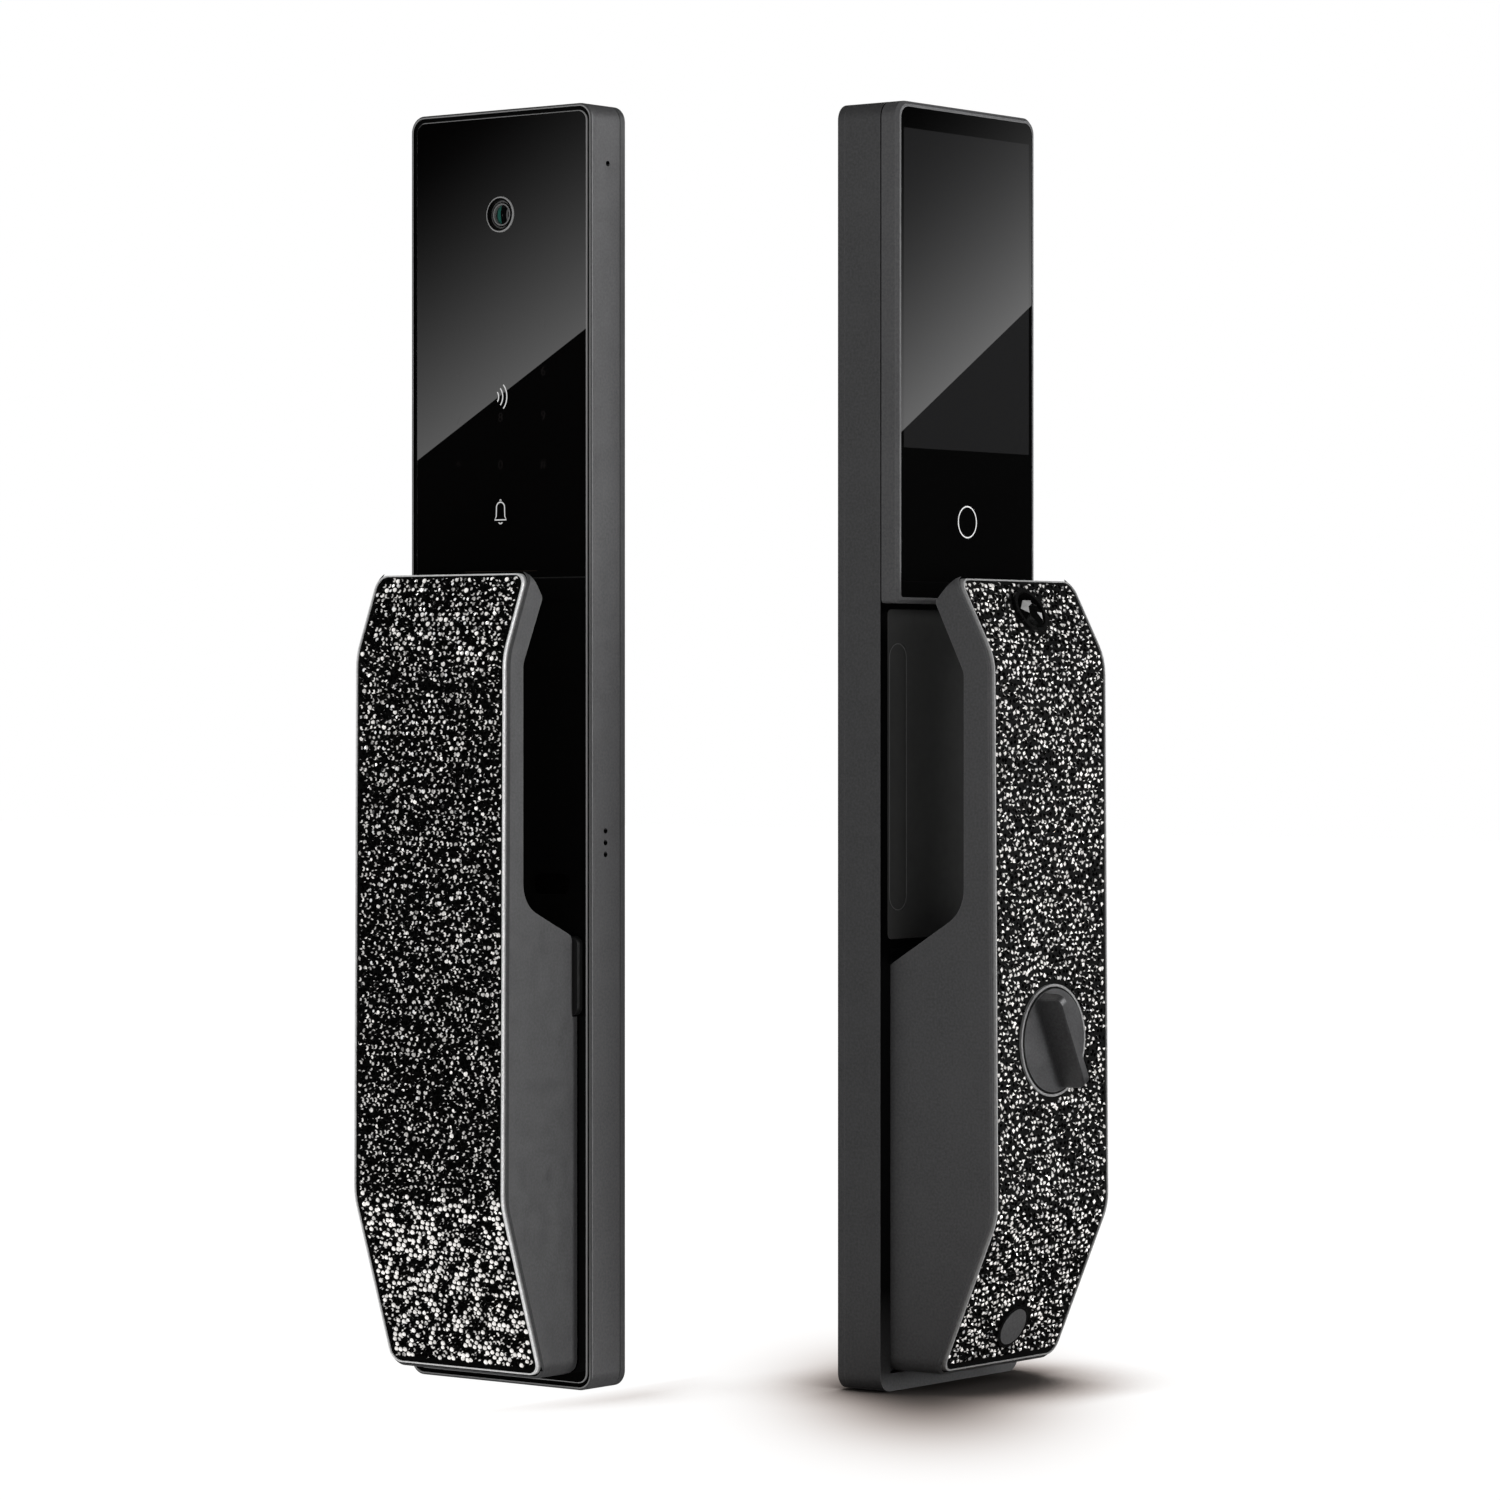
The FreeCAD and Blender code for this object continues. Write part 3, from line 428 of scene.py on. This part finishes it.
def dress_nodes():
    for part in frame["record"]["subparts"]:
        node = NODES[part["node"]]
        look = NODE_LOOKS.get(part["node"]) or LOOKS[part["material_slot"]]
        if not node.material_slots:
            node.data.materials.append(look)
        for slot in node.material_slots:
            slot.material = look


# ---------------------------------------------------------------- pieces
def mesh_object(name, vertices, faces, material, smooth=False):
    mesh = bpy.data.meshes.new(name)
    mesh.from_pydata([tuple(v) for v in vertices], [], faces)
    mesh.update()
    mesh.polygons.foreach_set("use_smooth", [smooth] * len(mesh.polygons))
    mesh.materials.append(material)
    piece = bpy.data.objects.new(name, mesh)
    bpy.context.scene.collection.objects.link(piece)
    return piece


def node_tree(node):
    mesh = NODES[node].data
    places = [vertex.co.copy() for vertex in mesh.vertices]
    return BVHTree.FromPolygons(places, [tuple(face.vertices) for face in mesh.polygons])


class Cut:
    """The size and cut of a field of stones, in millimetres.

    runs are the numbers of facets painted bright side by side, spread is how far a stone lies off its row."""

    def __init__(self, sides, runs, pitch, height, table, tip, spread):
        self.sides = sides
        self.runs = runs
        self.pitch = pitch * MM
        self.radius = 0.47 * pitch * MM
        self.height = height * MM
        self.table = table
        self.tip = tip
        self.spread = spread * MM


def add_stone(vertices, faces, place, normal, rng, cut):
    """A low faceted cone with a flat table, turned and tipped a little at random."""
    tip = Vector((rng.uniform(-1, 1), rng.uniform(-1, 1), rng.uniform(-1, 1))) * cut.tip
    up = (normal + tip).normalized()
    side = up.orthogonal().normalized()
    other = up.cross(side)
    turn = rng.uniform(0, math.tau)
    size = rng.uniform(0.80, 1.0)
    first = len(vertices)
    table = cut.table * rng.uniform(0.8, 1.2)
    for share, height in ((1.0, 0.0), (table, 1.0)):
        for corner in range(cut.sides):
            angle = turn + math.tau * corner / cut.sides
            out = side * math.cos(angle) + other * math.sin(angle)
            vertices.append(place + out * cut.radius * size * share + up * cut.height * height)
    top = first + cut.sides
    for corner in range(cut.sides):
        after = (corner + 1) % cut.sides
        faces.append((first + corner, first + after, top + after, top + corner))
    faces.append(tuple(range(top, top + cut.sides)))
    faces.append(tuple(reversed(range(first, top))))


def stone_painted_glints(rng, bead, cut):
    """Painted reflections for the facets of a stone: a run of crown facets on one side painted bright, the
    others black.

    bead is the chance that the whole stone is painted bright, as a painted reflection like that of a clear
    foiled bead."""
    if rng.random() < bead:
        level = rng.uniform(0.7, 1.0)
        return [level * rng.uniform(0.75, 1.0) for _ in range(cut.sides)] + [level, 0.0]
    start = rng.randrange(cut.sides)
    run = rng.choice(cut.runs)
    level = rng.uniform(0.45, 1.0)
    painted_glints = [0.0] * cut.sides
    for step in range(run):
        painted_glints[(start + step) % cut.sides] = level * rng.uniform(0.7, 1.0)
    table = level * rng.uniform(0.3, 1.0) if rng.random() < 0.12 else 0.0
    return painted_glints + [table, 0.0]


def stone_rows(tree, low, high, outward, across, cut):
    """Places and normals on the panel's front, row by row along its slope."""
    start = max(abs(c) for c in (*low, *high)) + 0.1
    count = int((high[across] - low[across] - 2 * cut.radius) / cut.pitch)
    first = (low[across] + high[across] - count * cut.pitch) / 2
    rows = []
    z = low.z + 0.8 * MM
    while z < high.z:
        found = []
        slope = 1.0
        shift = 0.25 if len(rows) % 2 else -0.25
        for column in range(count + 1):
            spot = Vector((0.0, 0.0, z))
            spot[across] = first + (column + shift) * cut.pitch
            hit = solid_spot(tree, spot, outward, across, start, cut.radius)
            if hit:
                found.append(hit)
                slope = max(0.5, math.hypot(hit[1][0], hit[1][1]))
        rows.append(found)
        z += cut.pitch * 0.88 * slope
    return rows


def cast(tree, spot, outward, start):
    origin = spot.copy()
    origin += outward * (start - origin.dot(outward))
    return tree.ray_cast(origin, -outward)


def solid_spot(tree, spot, outward, across, start, radius):
    """The place and normal under a stone, or nothing where the panel ends or has a hole."""
    place, normal, _, _ = cast(tree, spot, outward, start)
    if place is None or normal.dot(outward) < 0.7:
        return None
    for du, dz in ((-1, 0), (1, 0), (0, -1), (0, 1)):
        near = spot.copy()
        near[across] += du * radius
        near.z += dz * radius
        beside, _, _, _ = cast(tree, near, outward, start)
        if beside is None or abs((beside - place).dot(outward)) > 0.8 * MM:
            return None
    return place, normal


def cluster(place, body):
    """Slow variation over the panel, so that stones painted bright gather in patches."""
    return 0.5 + 0.5 * noise.noise(place * 150.0 + Vector((3.1, 7.7, body)))


def stone_field(name, node, outward, across, body, seed, cut, beads):
    """Covers the panel with stones. beads gives the greatest share of whole stones painted bright on each
    facet.
    """
    rng = random.Random(seed)
    low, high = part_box(node)
    bands = {}
    for row in stone_rows(node_tree(node), low, high, outward, across, cut):
        for place, normal in row:
            band = "lower" if normal.z < -0.1 else "upper" if normal.z > 0.1 else "middle"
            vertices, faces, painted_glints = bands.setdefault(band, ([], [], []))
            share = beads[band] * min(1.0, max(0.0, 2.2 * cluster(place, seed) - 0.55))
            painted_glints.extend(stone_painted_glints(rng, share, cut))
            shift = Vector((rng.uniform(-1, 1), rng.uniform(-1, 1), rng.uniform(-1, 1))) * cut.spread
            shift -= normal * shift.dot(normal)
            add_stone(vertices, faces, place + shift - normal * STONE_BED, normal, rng, cut)
    for band, (vertices, faces, painted_glints) in bands.items():
        piece = mesh_object(f"{name}_{band}", vertices, faces, LOOK_STONES)
        layer = piece.data.attributes.new("painted_glint", "FLOAT", "FACE")
        layer.data.foreach_set("value", painted_glints)
        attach(piece, body)
        SPARKLING.objects.link(piece)


STONE_BED = 0.05 * MM
LOOK_STONES = crystal("crystal_stones")
SPARKLING = bpy.data.collections.new("sparkling")


# ---------------------------------------------------------------- jewel
JEWEL_RINGS = ((6.25, 0.25, 0.0), (5.9, 0.9, 0.5), (3.5, 2.2, 0.0))
JEWEL_POINT = 2.8 * MM
# Facets with a painted reflection: on the crown or not, the span of angles, and how light.
JEWEL_PAINTED_GLINTS = ((True, 88, 178, 0.30), (False, -60, 20, 0.36))


def facet_painted_glint(corners, side, up, normal):
    """Painted reflections: crown facets at the upper left and star facets at the right are painted lighter,
    the others are black.
    """
    middle = sum(corners, Vector()) / len(corners)
    if len(corners) > 3 or middle.dot(normal) < 1.2 * MM:
        return 0.0
    angle = math.degrees(math.atan2(middle.dot(up), middle.dot(side)))
    crown = math.hypot(middle.dot(up), middle.dot(side)) > 3.0 * MM
    for on_crown, start, end, painted_glint in JEWEL_PAINTED_GLINTS:
        if on_crown == crown and start <= angle <= end:
            return painted_glint
    return 0.0


def jewel():
    """Cut black stone: a crown of triangles round an octagon of low star facets."""
    low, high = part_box("jewel_button_cup")
    tree = node_tree("inner_stone_panel")
    beside = Vector((high.x + 0.05, high.y + 2.5 * MM, (low.z + high.z) / 2))
    place, normal, _, _ = tree.ray_cast(beside, Vector((-1, 0, 0)))
    centre = place - Vector((0, beside.y - (low.y + high.y) / 2, 0))
    side = Vector((0, 1, 0))
    up = normal.cross(side).normalized()
    vertices = [centre - normal * 1.2 * MM]
    faces = []
    for radius, height, turn in ((6.25, -1.2, 0.0), *JEWEL_RINGS):
        for corner in range(8):
            angle = math.tau * (corner + turn) / 8
            out = side * math.cos(angle) + up * math.sin(angle)
            vertices.append(centre + out * radius * MM + normal * height * MM)
    for corner in range(8):
        after = (corner + 1) % 8
        faces.append((0, 1 + after, 1 + corner))
        faces.append((1 + corner, 1 + after, 9 + after, 9 + corner))
        for a, b, c in ((9 + corner, 9 + after, 17 + corner), (17 + corner, 9 + after, 17 + after)):
            faces.append((a, b, c))
        before = (corner - 1) % 8
        faces.append((17 + before, 17 + corner, 25 + corner))
        faces.append((25 + corner, 17 + corner, 25 + after))
    vertices.append(centre + normal * JEWEL_POINT)
    for corner in range(8):
        faces.append((25 + corner, 25 + (corner + 1) % 8, 33))
    painted_glints = [facet_painted_glint([vertices[i] - centre for i in face], side, up, normal) for face in faces]
    piece = mesh_object("cut_jewel", vertices, faces, LOOK_JEWEL)
    layer = piece.data.attributes.new("painted_glint", "FLOAT", "FACE")
    layer.data.foreach_set("value", painted_glints)
    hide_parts("jewel_button")
    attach(piece, "jewel_button")


def jewel_look(name):
    look = Look(name, (0.002, 0.002, 0.002), 0.10, 0.0, 0.25)
    # Facets with a painted reflection are lighter, up to white.
    look.feed("Base Color", look.colours(look.attribute("painted_glint"), (0.0015, 0.0015, 0.0015), (1.0, 1.0, 1.0)))
    look.feed("Roughness", look.remap(look.noise(2.0, 1.0), 0.3, 0.7, 0.06, 0.14))
    return look.material


LOOK_JEWEL = jewel_look("jewel_facets")


# ---------------------------------------------------------------- print on the glass
INK_DIM = black_glass("print_dim", (0.0085, 0.0075, 0.0075))
INK_LIT = ink("print_lit", (0.50, 0.50, 0.50), 0.55)
INK_LINE = ink("print_line", (0.020, 0.014, 0.011))
PRINT_THICKNESS = 0.03 * MM


def ribbon(bm, points, width, closed):
    """A flat stroke with a little thickness, in the plane of the glass. Points are (across, up) in mm."""
    half = width / 2
    count = len(points)
    pairs = []
    for index, point in enumerate(points):
        before = points[(index - 1) % count] if closed or index else point
        after = points[(index + 1) % count] if closed or index < count - 1 else point
        along = Vector((after[0] - before[0], after[1] - before[1])).normalized()
        side = Vector((-along.y, along.x)) * half
        pairs.append((Vector(point) + side, Vector(point) - side))
    rings = []
    for left, right in pairs:
        ring = []
        for flat, lift in ((left, 0.0), (left, 1.0), (right, 1.0), (right, 0.0)):
            ring.append(bm.verts.new((flat[0] * MM, -lift * PRINT_THICKNESS, flat[1] * MM)))
        rings.append(ring)
    last = count if closed else count - 1
    for index in range(last):
        a = rings[index]
        b = rings[(index + 1) % count]
        for corner in range(4):
            follow = (corner + 1) % 4
            bm.faces.new((a[corner], a[follow], b[follow], b[corner]))
    if not closed:
        bm.faces.new(tuple(rings[0]))
        bm.faces.new(tuple(reversed(rings[-1])))


def arc(cx, cz, radius, start, end, count=24):
    steps = [math.radians(start + (end - start) * i / count) for i in range(count + 1)]
    return [(cx + radius * math.cos(a), cz + radius * math.sin(a)) for a in steps]


def strokes_piece(name, strokes, material, node, body, facing):
    """Strokes in the plane of the node's front, about its centre line, with heights from the lock's foot."""
    bm = bmesh.new()
    for points, width, closed in strokes:
        ribbon(bm, points, width, closed)
    bmesh.ops.recalc_face_normals(bm, faces=bm.faces)
    mesh = bpy.data.meshes.new(name)
    bm.to_mesh(mesh)
    bm.free()
    mesh.materials.append(material)
    piece = bpy.data.objects.new(name, mesh)
    bpy.context.scene.collection.objects.link(piece)
    set_on_glass(piece, node, facing)
    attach(piece, body)


def set_on_glass(piece, node, facing):
    low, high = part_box(node)
    foot = CAD_BOX[0][2]
    if facing == "front":
        piece.location = ((low.x + high.x) / 2, low.y, foot)
    else:
        piece.rotation_euler = (0, 0, math.pi / 2)
        piece.location = (high.x, (low.y + high.y) / 2, foot)
    bpy.context.view_layer.update()
    piece.data.transform(piece.matrix_world)
    piece.matrix_world.identity()
    piece.location = (0, 0, 0)
    piece.rotation_euler = (0, 0, 0)


KEY_COLUMNS = (-18.8, 0.0, 18.8)
KEY_ROWS = (356.5, 340.9, 325.9, 309.9)
KEY_MARKS = ("123", "456", "789", "*0#")
DIGIT_SIZE = 4.4


def keypad_digits():
    bm = bmesh.new()
    for marks, z in zip(KEY_MARKS, KEY_ROWS):
        for mark, x in zip(marks, KEY_COLUMNS):
            add_text(bm, mark, x, z)
    bmesh.ops.remove_doubles(bm, verts=bm.verts, dist=0.001 * MM)
    mesh = bpy.data.meshes.new("keypad_digits")
    bm.to_mesh(mesh)
    bm.free()
    mesh.materials.append(INK_DIM)
    piece = bpy.data.objects.new("keypad_digits", mesh)
    bpy.context.scene.collection.objects.link(piece)
    set_on_glass(piece, "outer_glass_panel", "front")
    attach(piece, "lock_bases")


def add_text(bm, mark, x, z):
    curve = bpy.data.curves.new("mark", "FONT")
    curve.body = mark
    curve.size = DIGIT_SIZE
    curve.align_x = "CENTER"
    curve.align_y = "CENTER"
    curve.extrude = 0.5
    curve.resolution_u = 6
    text = bpy.data.objects.new("mark", curve)
    bpy.context.scene.collection.objects.link(text)
    bpy.context.view_layer.update()
    flat = bpy.data.meshes.new_from_object(text.evaluated_get(bpy.context.evaluated_depsgraph_get()))
    first = len(bm.verts)
    bm.from_mesh(flat)
    bm.verts.ensure_lookup_table()
    for vertex in list(bm.verts)[first:]:
        u, v, w = vertex.co
        vertex.co = ((x + u) * MM, -(w + 0.5) * PRINT_THICKNESS, (z + v) * MM)
    bpy.data.objects.remove(text)
    bpy.data.meshes.remove(flat)


def glass_marks():
    wave = [(arc(-3.2, 333.0, r, -42, 42), 0.42, False) for r in (2.4, 4.2, 6.0)]
    strokes_piece("card_reader_mark", wave, INK_LIT, "outer_glass_panel", "lock_bases", "front")
    bell = [(-2.6, 291.4), (-1.9, 292.6), (-1.8, 295.0)]
    bell += arc(0.0, 295.6, 1.8, 180, 0, 12)
    bell += [(1.8, 295.0), (1.9, 292.6), (2.6, 291.4)]
    clapper = arc(0.0, 290.9, 0.8, 200, 340, 8)
    knob = arc(0.0, 297.9, 0.3, 0, 180, 6)
    strokes = [(bell, 0.40, True), (clapper, 0.40, False), (knob, 0.3, False)]
    strokes_piece("bell_mark", strokes, INK_LIT, "outer_glass_panel", "lock_bases", "front")
    line = [([(-16.0, 274.0), (16.0, 274.0)], 0.25, False)]
    strokes_piece("guide_line", line, INK_LINE, "outer_glass_panel", "lock_bases", "front")
    ring = arc(0.0, 290.6, 5.25, 0, 352.5, 47)
    cover_outline()
    strokes_piece("display_ring_mark", [(ring, 0.42, True)], INK_LIT, "display_glass", "lock_bases", "side")


def cover_outline():
    """Thin raised line round the grip strip of the battery cover, painted light grey as a painted highlight
    on the strip's engraved outline.
    """
    low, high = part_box("cover_grip_strip")
    cover_low, cover_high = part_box("battery_cover")
    middle = (cover_low.y + cover_high.y) / 2
    foot = CAD_BOX[0][2]
    left, right = (low.y - middle) / MM, (high.y - middle) / MM
    bottom, top = (low.z - foot) / MM, (high.z - foot) / MM
    radius = (right - left) / 2
    points = arc((left + right) / 2, top - radius, radius, 0, 180)
    points += arc((left + right) / 2, bottom + radius, radius, 180, 360)
    bead = [(points, 0.28, True)]
    strokes_piece("cover_strip_highlight", bead, OUTLINE_HIGHLIGHT, "battery_cover", "battery_cover", "side")


# Light grey of the painted highlight round the grip strip.
OUTLINE_HIGHLIGHT = ink("outline_highlight_paint", (0.12, 0.12, 0.12))


# ---------------------------------------------------------------- stage
AZIMUTH = math.radians(37.787)
FOCAL = 5372.4 / 1500.0
DISTANCE = 1.7907
LATERAL = 0.05278
CAMERA_HEIGHT = 0.2324
HORIZON_SHIFT = -0.037


def near_edge():
    low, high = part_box("outer_housing")
    return Vector((high.x, low.y, 0.0))


def camera_place():
    back = Vector((math.sin(AZIMUTH), -math.cos(AZIMUTH), 0.0))
    right = Vector((math.cos(AZIMUTH), math.sin(AZIMUTH), 0.0))
    place = near_edge() + back * DISTANCE + right * LATERAL
    place.z = CAD_BOX[0][2] + CAMERA_HEIGHT
    return place


def add_camera():
    data = bpy.data.cameras.new("camera")
    data.sensor_width = 36.0
    data.lens = FOCAL * data.sensor_width
    data.shift_y = HORIZON_SHIFT
    data.clip_start = 0.05
    camera = bpy.data.objects.new("camera", data)
    camera.location = camera_place()
    camera.rotation_euler = (math.pi / 2, 0.0, AZIMUTH)
    bpy.context.scene.collection.objects.link(camera)
    bpy.context.scene.camera = camera


def seen_only_in_gloss(thing):
    thing.visible_camera = False
    thing.visible_diffuse = False
    thing.visible_transmission = False
    thing.visible_volume_scatter = False
    thing.visible_shadow = False


def glow_material(name, strength, fade):
    material = bpy.data.materials.new(name)
    material.use_nodes = True
    nodes = material.node_tree.nodes
    links = material.node_tree.links
    nodes.clear()
    out = nodes.new("ShaderNodeOutputMaterial")
    light = nodes.new("ShaderNodeEmission")
    level = nodes.new("ShaderNodeAttribute")
    level.attribute_name = "level"
    power = nodes.new("ShaderNodeMath")
    power.operation = "POWER"
    power.inputs[1].default_value = fade
    times = nodes.new("ShaderNodeMath")
    times.operation = "MULTIPLY"
    times.inputs[1].default_value = strength
    links.new(level.outputs["Fac"], power.inputs[0])
    links.new(power.outputs[0], times.inputs[0])
    links.new(times.outputs[0], light.inputs["Strength"])
    links.new(light.outputs["Emission"], out.inputs["Surface"])
    return material


def mirror_card(name, node, along, diagonal, reach, distance, strength, fade):
    """A glowing studio card that the flat glass of a node mirrors: bright along a diagonal, fading upward.

    diagonal gives the heights of its lower edge at the glass's two sides, reach how far up it fades."""
    low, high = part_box(node)
    eye = camera_place()
    facing = 1 - along
    plane = low[facing] if facing == 1 else high[facing]
    eye[facing] = 2 * plane - eye[facing]
    stretch = 1 + distance / abs(eye[facing] - plane)
    sides = (low[along] - 0.004, high[along] + 0.004)
    vertices = []
    levels = []
    for z, side in zip(diagonal, sides):
        for rise, level in ((0.0, 1.0), (reach, 0.0)):
            on_glass = Vector((0.0, 0.0, z + rise))
            on_glass[along] = side
            on_glass[facing] = plane
            vertices.append(eye + (on_glass - eye) * stretch)
            levels.append(level)
    card = mesh_object(name, vertices, [(0, 2, 3, 1)], glow_material(name, strength, fade))
    layer = card.data.attributes.new("level", "FLOAT", "POINT")
    layer.data.foreach_set("value", levels)
    seen_only_in_gloss(card)


def soft_box(name, place, target, width, height, radiance, gloss=True, diffuse=True):
    data = bpy.data.lights.new(name, "AREA")
    data.shape = "RECTANGLE"
    data.size = width
    data.size_y = height
    data.energy = radiance * width * height * math.pi
    light = bpy.data.objects.new(name, data)
    light.location = place
    light.rotation_euler = (Vector(target) - Vector(place)).to_track_quat("-Z", "Y").to_euler()
    light.visible_camera = False
    light.visible_glossy = gloss
    light.visible_diffuse = diffuse
    bpy.context.scene.collection.objects.link(light)
    return light


def sparkle_lights():
    """Small bright windows round both fronts, outside the directions that the flat glass mirrors."""
    middle = Vector((0, 0, (CAD_BOX[0][2] + CAD_BOX[1][2]) / 2))
    for name, facing in SPARKLE_FRONTS:
        for index, (turn, rise) in enumerate(SPARKLE_DIRECTIONS):
            angle = math.radians(facing + turn)
            lift = math.radians(rise)
            level = math.cos(lift)
            away = Vector((math.cos(angle) * level, math.sin(angle) * level, math.sin(lift)))
            place = middle + away * SPARKLE_REACH
            if place.z > CAD_BOX[0][2] + SPARKLE_FLOOR:
                light = soft_box(f"sparkle_{name}_{index}", place, middle, SPARKLE_SIZE, SPARKLE_SIZE,
                                 SPARKLE_RADIANCE, diffuse=False)
                light.light_linking.receiver_collection = SPARKLING


SPARKLE_FRONTS = (("outer", -127.2), ("inner", 52.8))
SPARKLE_REACH = 1.7
SPARKLE_SIZE = 0.22
SPARKLE_RADIANCE = 26.0
SPARKLE_FLOOR = 0.15
SPARKLE_DIRECTIONS = (
    (-18, 4), (17, -1), (-14, 22), (13, 26), (-34, 12), (35, 15),
    (-26, 38), (30, 44), (2, 50), (-55, 25), (56, 30), (0, 72),
)


def painted_foot_shadow(look):
    """Painted shadow: 1 on the open floor, falling to nearly 0 at the near corner of the inside unit's foot.
    """
    low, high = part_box("inner_housing")
    right = (math.cos(AZIMUTH), math.sin(AZIMUTH))
    toward = (math.sin(AZIMUTH), -math.cos(AZIMUTH))
    total = 0.0
    for direction, shift, reach in ((right, POOL_SHIFT, POOL_WIDTH), (toward, 0.0, POOL_LENGTH)):
        start = high.x * direction[0] + low.y * direction[1] + shift
        along = both(look, look.axis("X"), direction[0])
        along = look.maths("ADD", along, both(look, look.axis("Y"), direction[1]))
        share = look.maths("DIVIDE", look.maths("SUBTRACT", along, start), reach)
        total = look.maths("ADD", both(look, share, share), total)
    falloff = look.maths("POWER", math.e, both(look, total, -1.0))
    return look.maths("SUBTRACT", 1.0, both(look, falloff, POOL_DEPTH))


def add_floor():
    """White glowing floor with painted shadow: a soft pool of painted shade, fixed to the floor, at the foot
    of the inside unit, and painted shade from ambient occlusion, which fades out toward the outside unit.
    """
    size = 6.0
    foot = CAD_BOX[0][2] - 0.0002
    vertices = [(-size, -size, foot), (size, -size, foot), (size, size, foot), (-size, size, foot)]
    look = Look("floor", FLOOR_TONE, 0.9, 0.0, 0.0)
    look.feed("Base Color", look.colours(look.noise(300.0, 2.0), FLOOR_TONE, scaled(FLOOR_TONE, 1.04)))
    # Painted shade: the floor's glow dims where ambient occlusion finds the units close, and turns warmer
    # there.
    shade = look.nodes.new("ShaderNodeAmbientOcclusion")
    shade.samples = 12
    shade.inputs["Distance"].default_value = 0.05
    open_sky = look.remap(shade.outputs["AO"], 0.50, 0.95, 0.0, 1.0)
    outer_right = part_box("outer_housing")[1].x
    inner_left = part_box("inner_housing")[0].x
    beside = look.remap(look.axis("X"), outer_right, inner_left, 1.0, 0.0)
    unshadowed = both(look, look.maths("MAXIMUM", open_sky, beside), painted_foot_shadow(look))
    look.feed("Emission Color", look.colours(unshadowed, WARM_SHADE, (1.0, 1.0, 1.0)))
    look.feed("Emission Strength", both(look, unshadowed, FLOOR_GLOW))
    floor = mesh_object("floor", vertices, [(0, 1, 2, 3)], look.material)
    floor.visible_glossy = False


FLOOR_TONE = (0.050, 0.045, 0.042)
FLOOR_GLOW = 1.0
# Warm colour of the painted shadow, and the shift, width, length and depth of the painted pool of shade.
WARM_SHADE = (1.0, 0.84, 0.76)
POOL_SHIFT = 0.014
POOL_WIDTH = 0.039
POOL_LENGTH = 0.112
POOL_DEPTH = 0.93


def add_world(seen, ambient, gloss):
    world = bpy.data.worlds.new("studio")
    world.use_nodes = True
    nodes = world.node_tree.nodes
    links = world.node_tree.links
    nodes.clear()
    out = nodes.new("ShaderNodeOutputWorld")
    path = nodes.new("ShaderNodeLightPath")
    levels = []
    for level in (ambient, gloss, seen):
        light = nodes.new("ShaderNodeBackground")
        light.inputs["Color"].default_value = (1.0, 1.0, 1.0, 1.0)
        light.inputs["Strength"].default_value = level
        levels.append(light.outputs[0])
    shiny = nodes.new("ShaderNodeMixShader")
    links.new(path.outputs["Is Glossy Ray"], shiny.inputs[0])
    links.new(levels[0], shiny.inputs[1])
    links.new(levels[1], shiny.inputs[2])
    shown = nodes.new("ShaderNodeMixShader")
    links.new(path.outputs["Is Camera Ray"], shown.inputs[0])
    links.new(shiny.outputs[0], shown.inputs[1])
    links.new(levels[2], shown.inputs[2])
    links.new(shown.outputs[0], out.inputs["Surface"])
    bpy.context.scene.world = world


def add_stage():
    scene = bpy.context.scene
    scene.view_settings.view_transform = "Standard"
    add_world(1.0, 0.62, 0.012)
    add_floor()
    add_camera()
    middle = (CAD_BOX[0][2] + CAD_BOX[1][2]) / 2
    mirror_card("outer_card", "outer_glass_panel", 0, (0.310, 0.357), 0.113, 0.9, 2.0, 2.3)
    mirror_card("inner_card", "display_glass", 1, (0.317, 0.3685), 0.116, 0.9, 1.7, 2.45)
    soft_box("right_box", (1.35, 1.0, 0.40), (0, 0, middle), 1.2, 1.6, 3.9, gloss=False)
    soft_box("low_box", (1.1, 0.8, 0.14), (0, 0, 0.10), 1.2, 0.24, 6.5, gloss=False)
    soft_box("right_strip", (1.6, 0.62, 0.30), (0, 0, middle), 0.45, 2.2, 10.0, diffuse=False)
    soft_box("left_strip", (-0.30, -1.6, 0.30), (0.05, 0, middle), 0.30, 2.0, 1.6, diffuse=False)
    soft_box("back_box", (-1.0, 1.5, 1.5), (0, 0, 0), 1.2, 1.2, 3.6, gloss=False)
    sparkle_lights()


dress_nodes()
# Cuts of the stones, and the greatest share of stones painted bright, as painted reflections, in each band.
OUTER_CUT = Cut(8, (0, 2, 3, 3, 4, 4), 2.0, 0.50, 0.62, 0.14, 0.34)
INNER_CUT = Cut(4, (0, 1, 2, 2, 2, 3), 2.15, 0.60, 0.08, 0.26, 0.58)
OUTER_BEADS = {"lower": 0.52, "middle": 0.0, "upper": 0.14}
INNER_BEADS = {"lower": 0.14, "middle": 0.03, "upper": 0.05}
OUTWARD = {"outer": Vector((0, -1, 0)), "inner": Vector((1, 0, 0))}
OUTER_SEED = 11
INNER_SEED = 23
stone_field("outer_stones", "outer_stone_panel", OUTWARD["outer"], 0, "outer_handle",
            OUTER_SEED, OUTER_CUT, OUTER_BEADS)
stone_field("inner_stones", "inner_stone_panel", OUTWARD["inner"], 1, "inner_handle",
            INNER_SEED, INNER_CUT, INNER_BEADS)
jewel()
keypad_digits()
glass_marks()
add_stage()
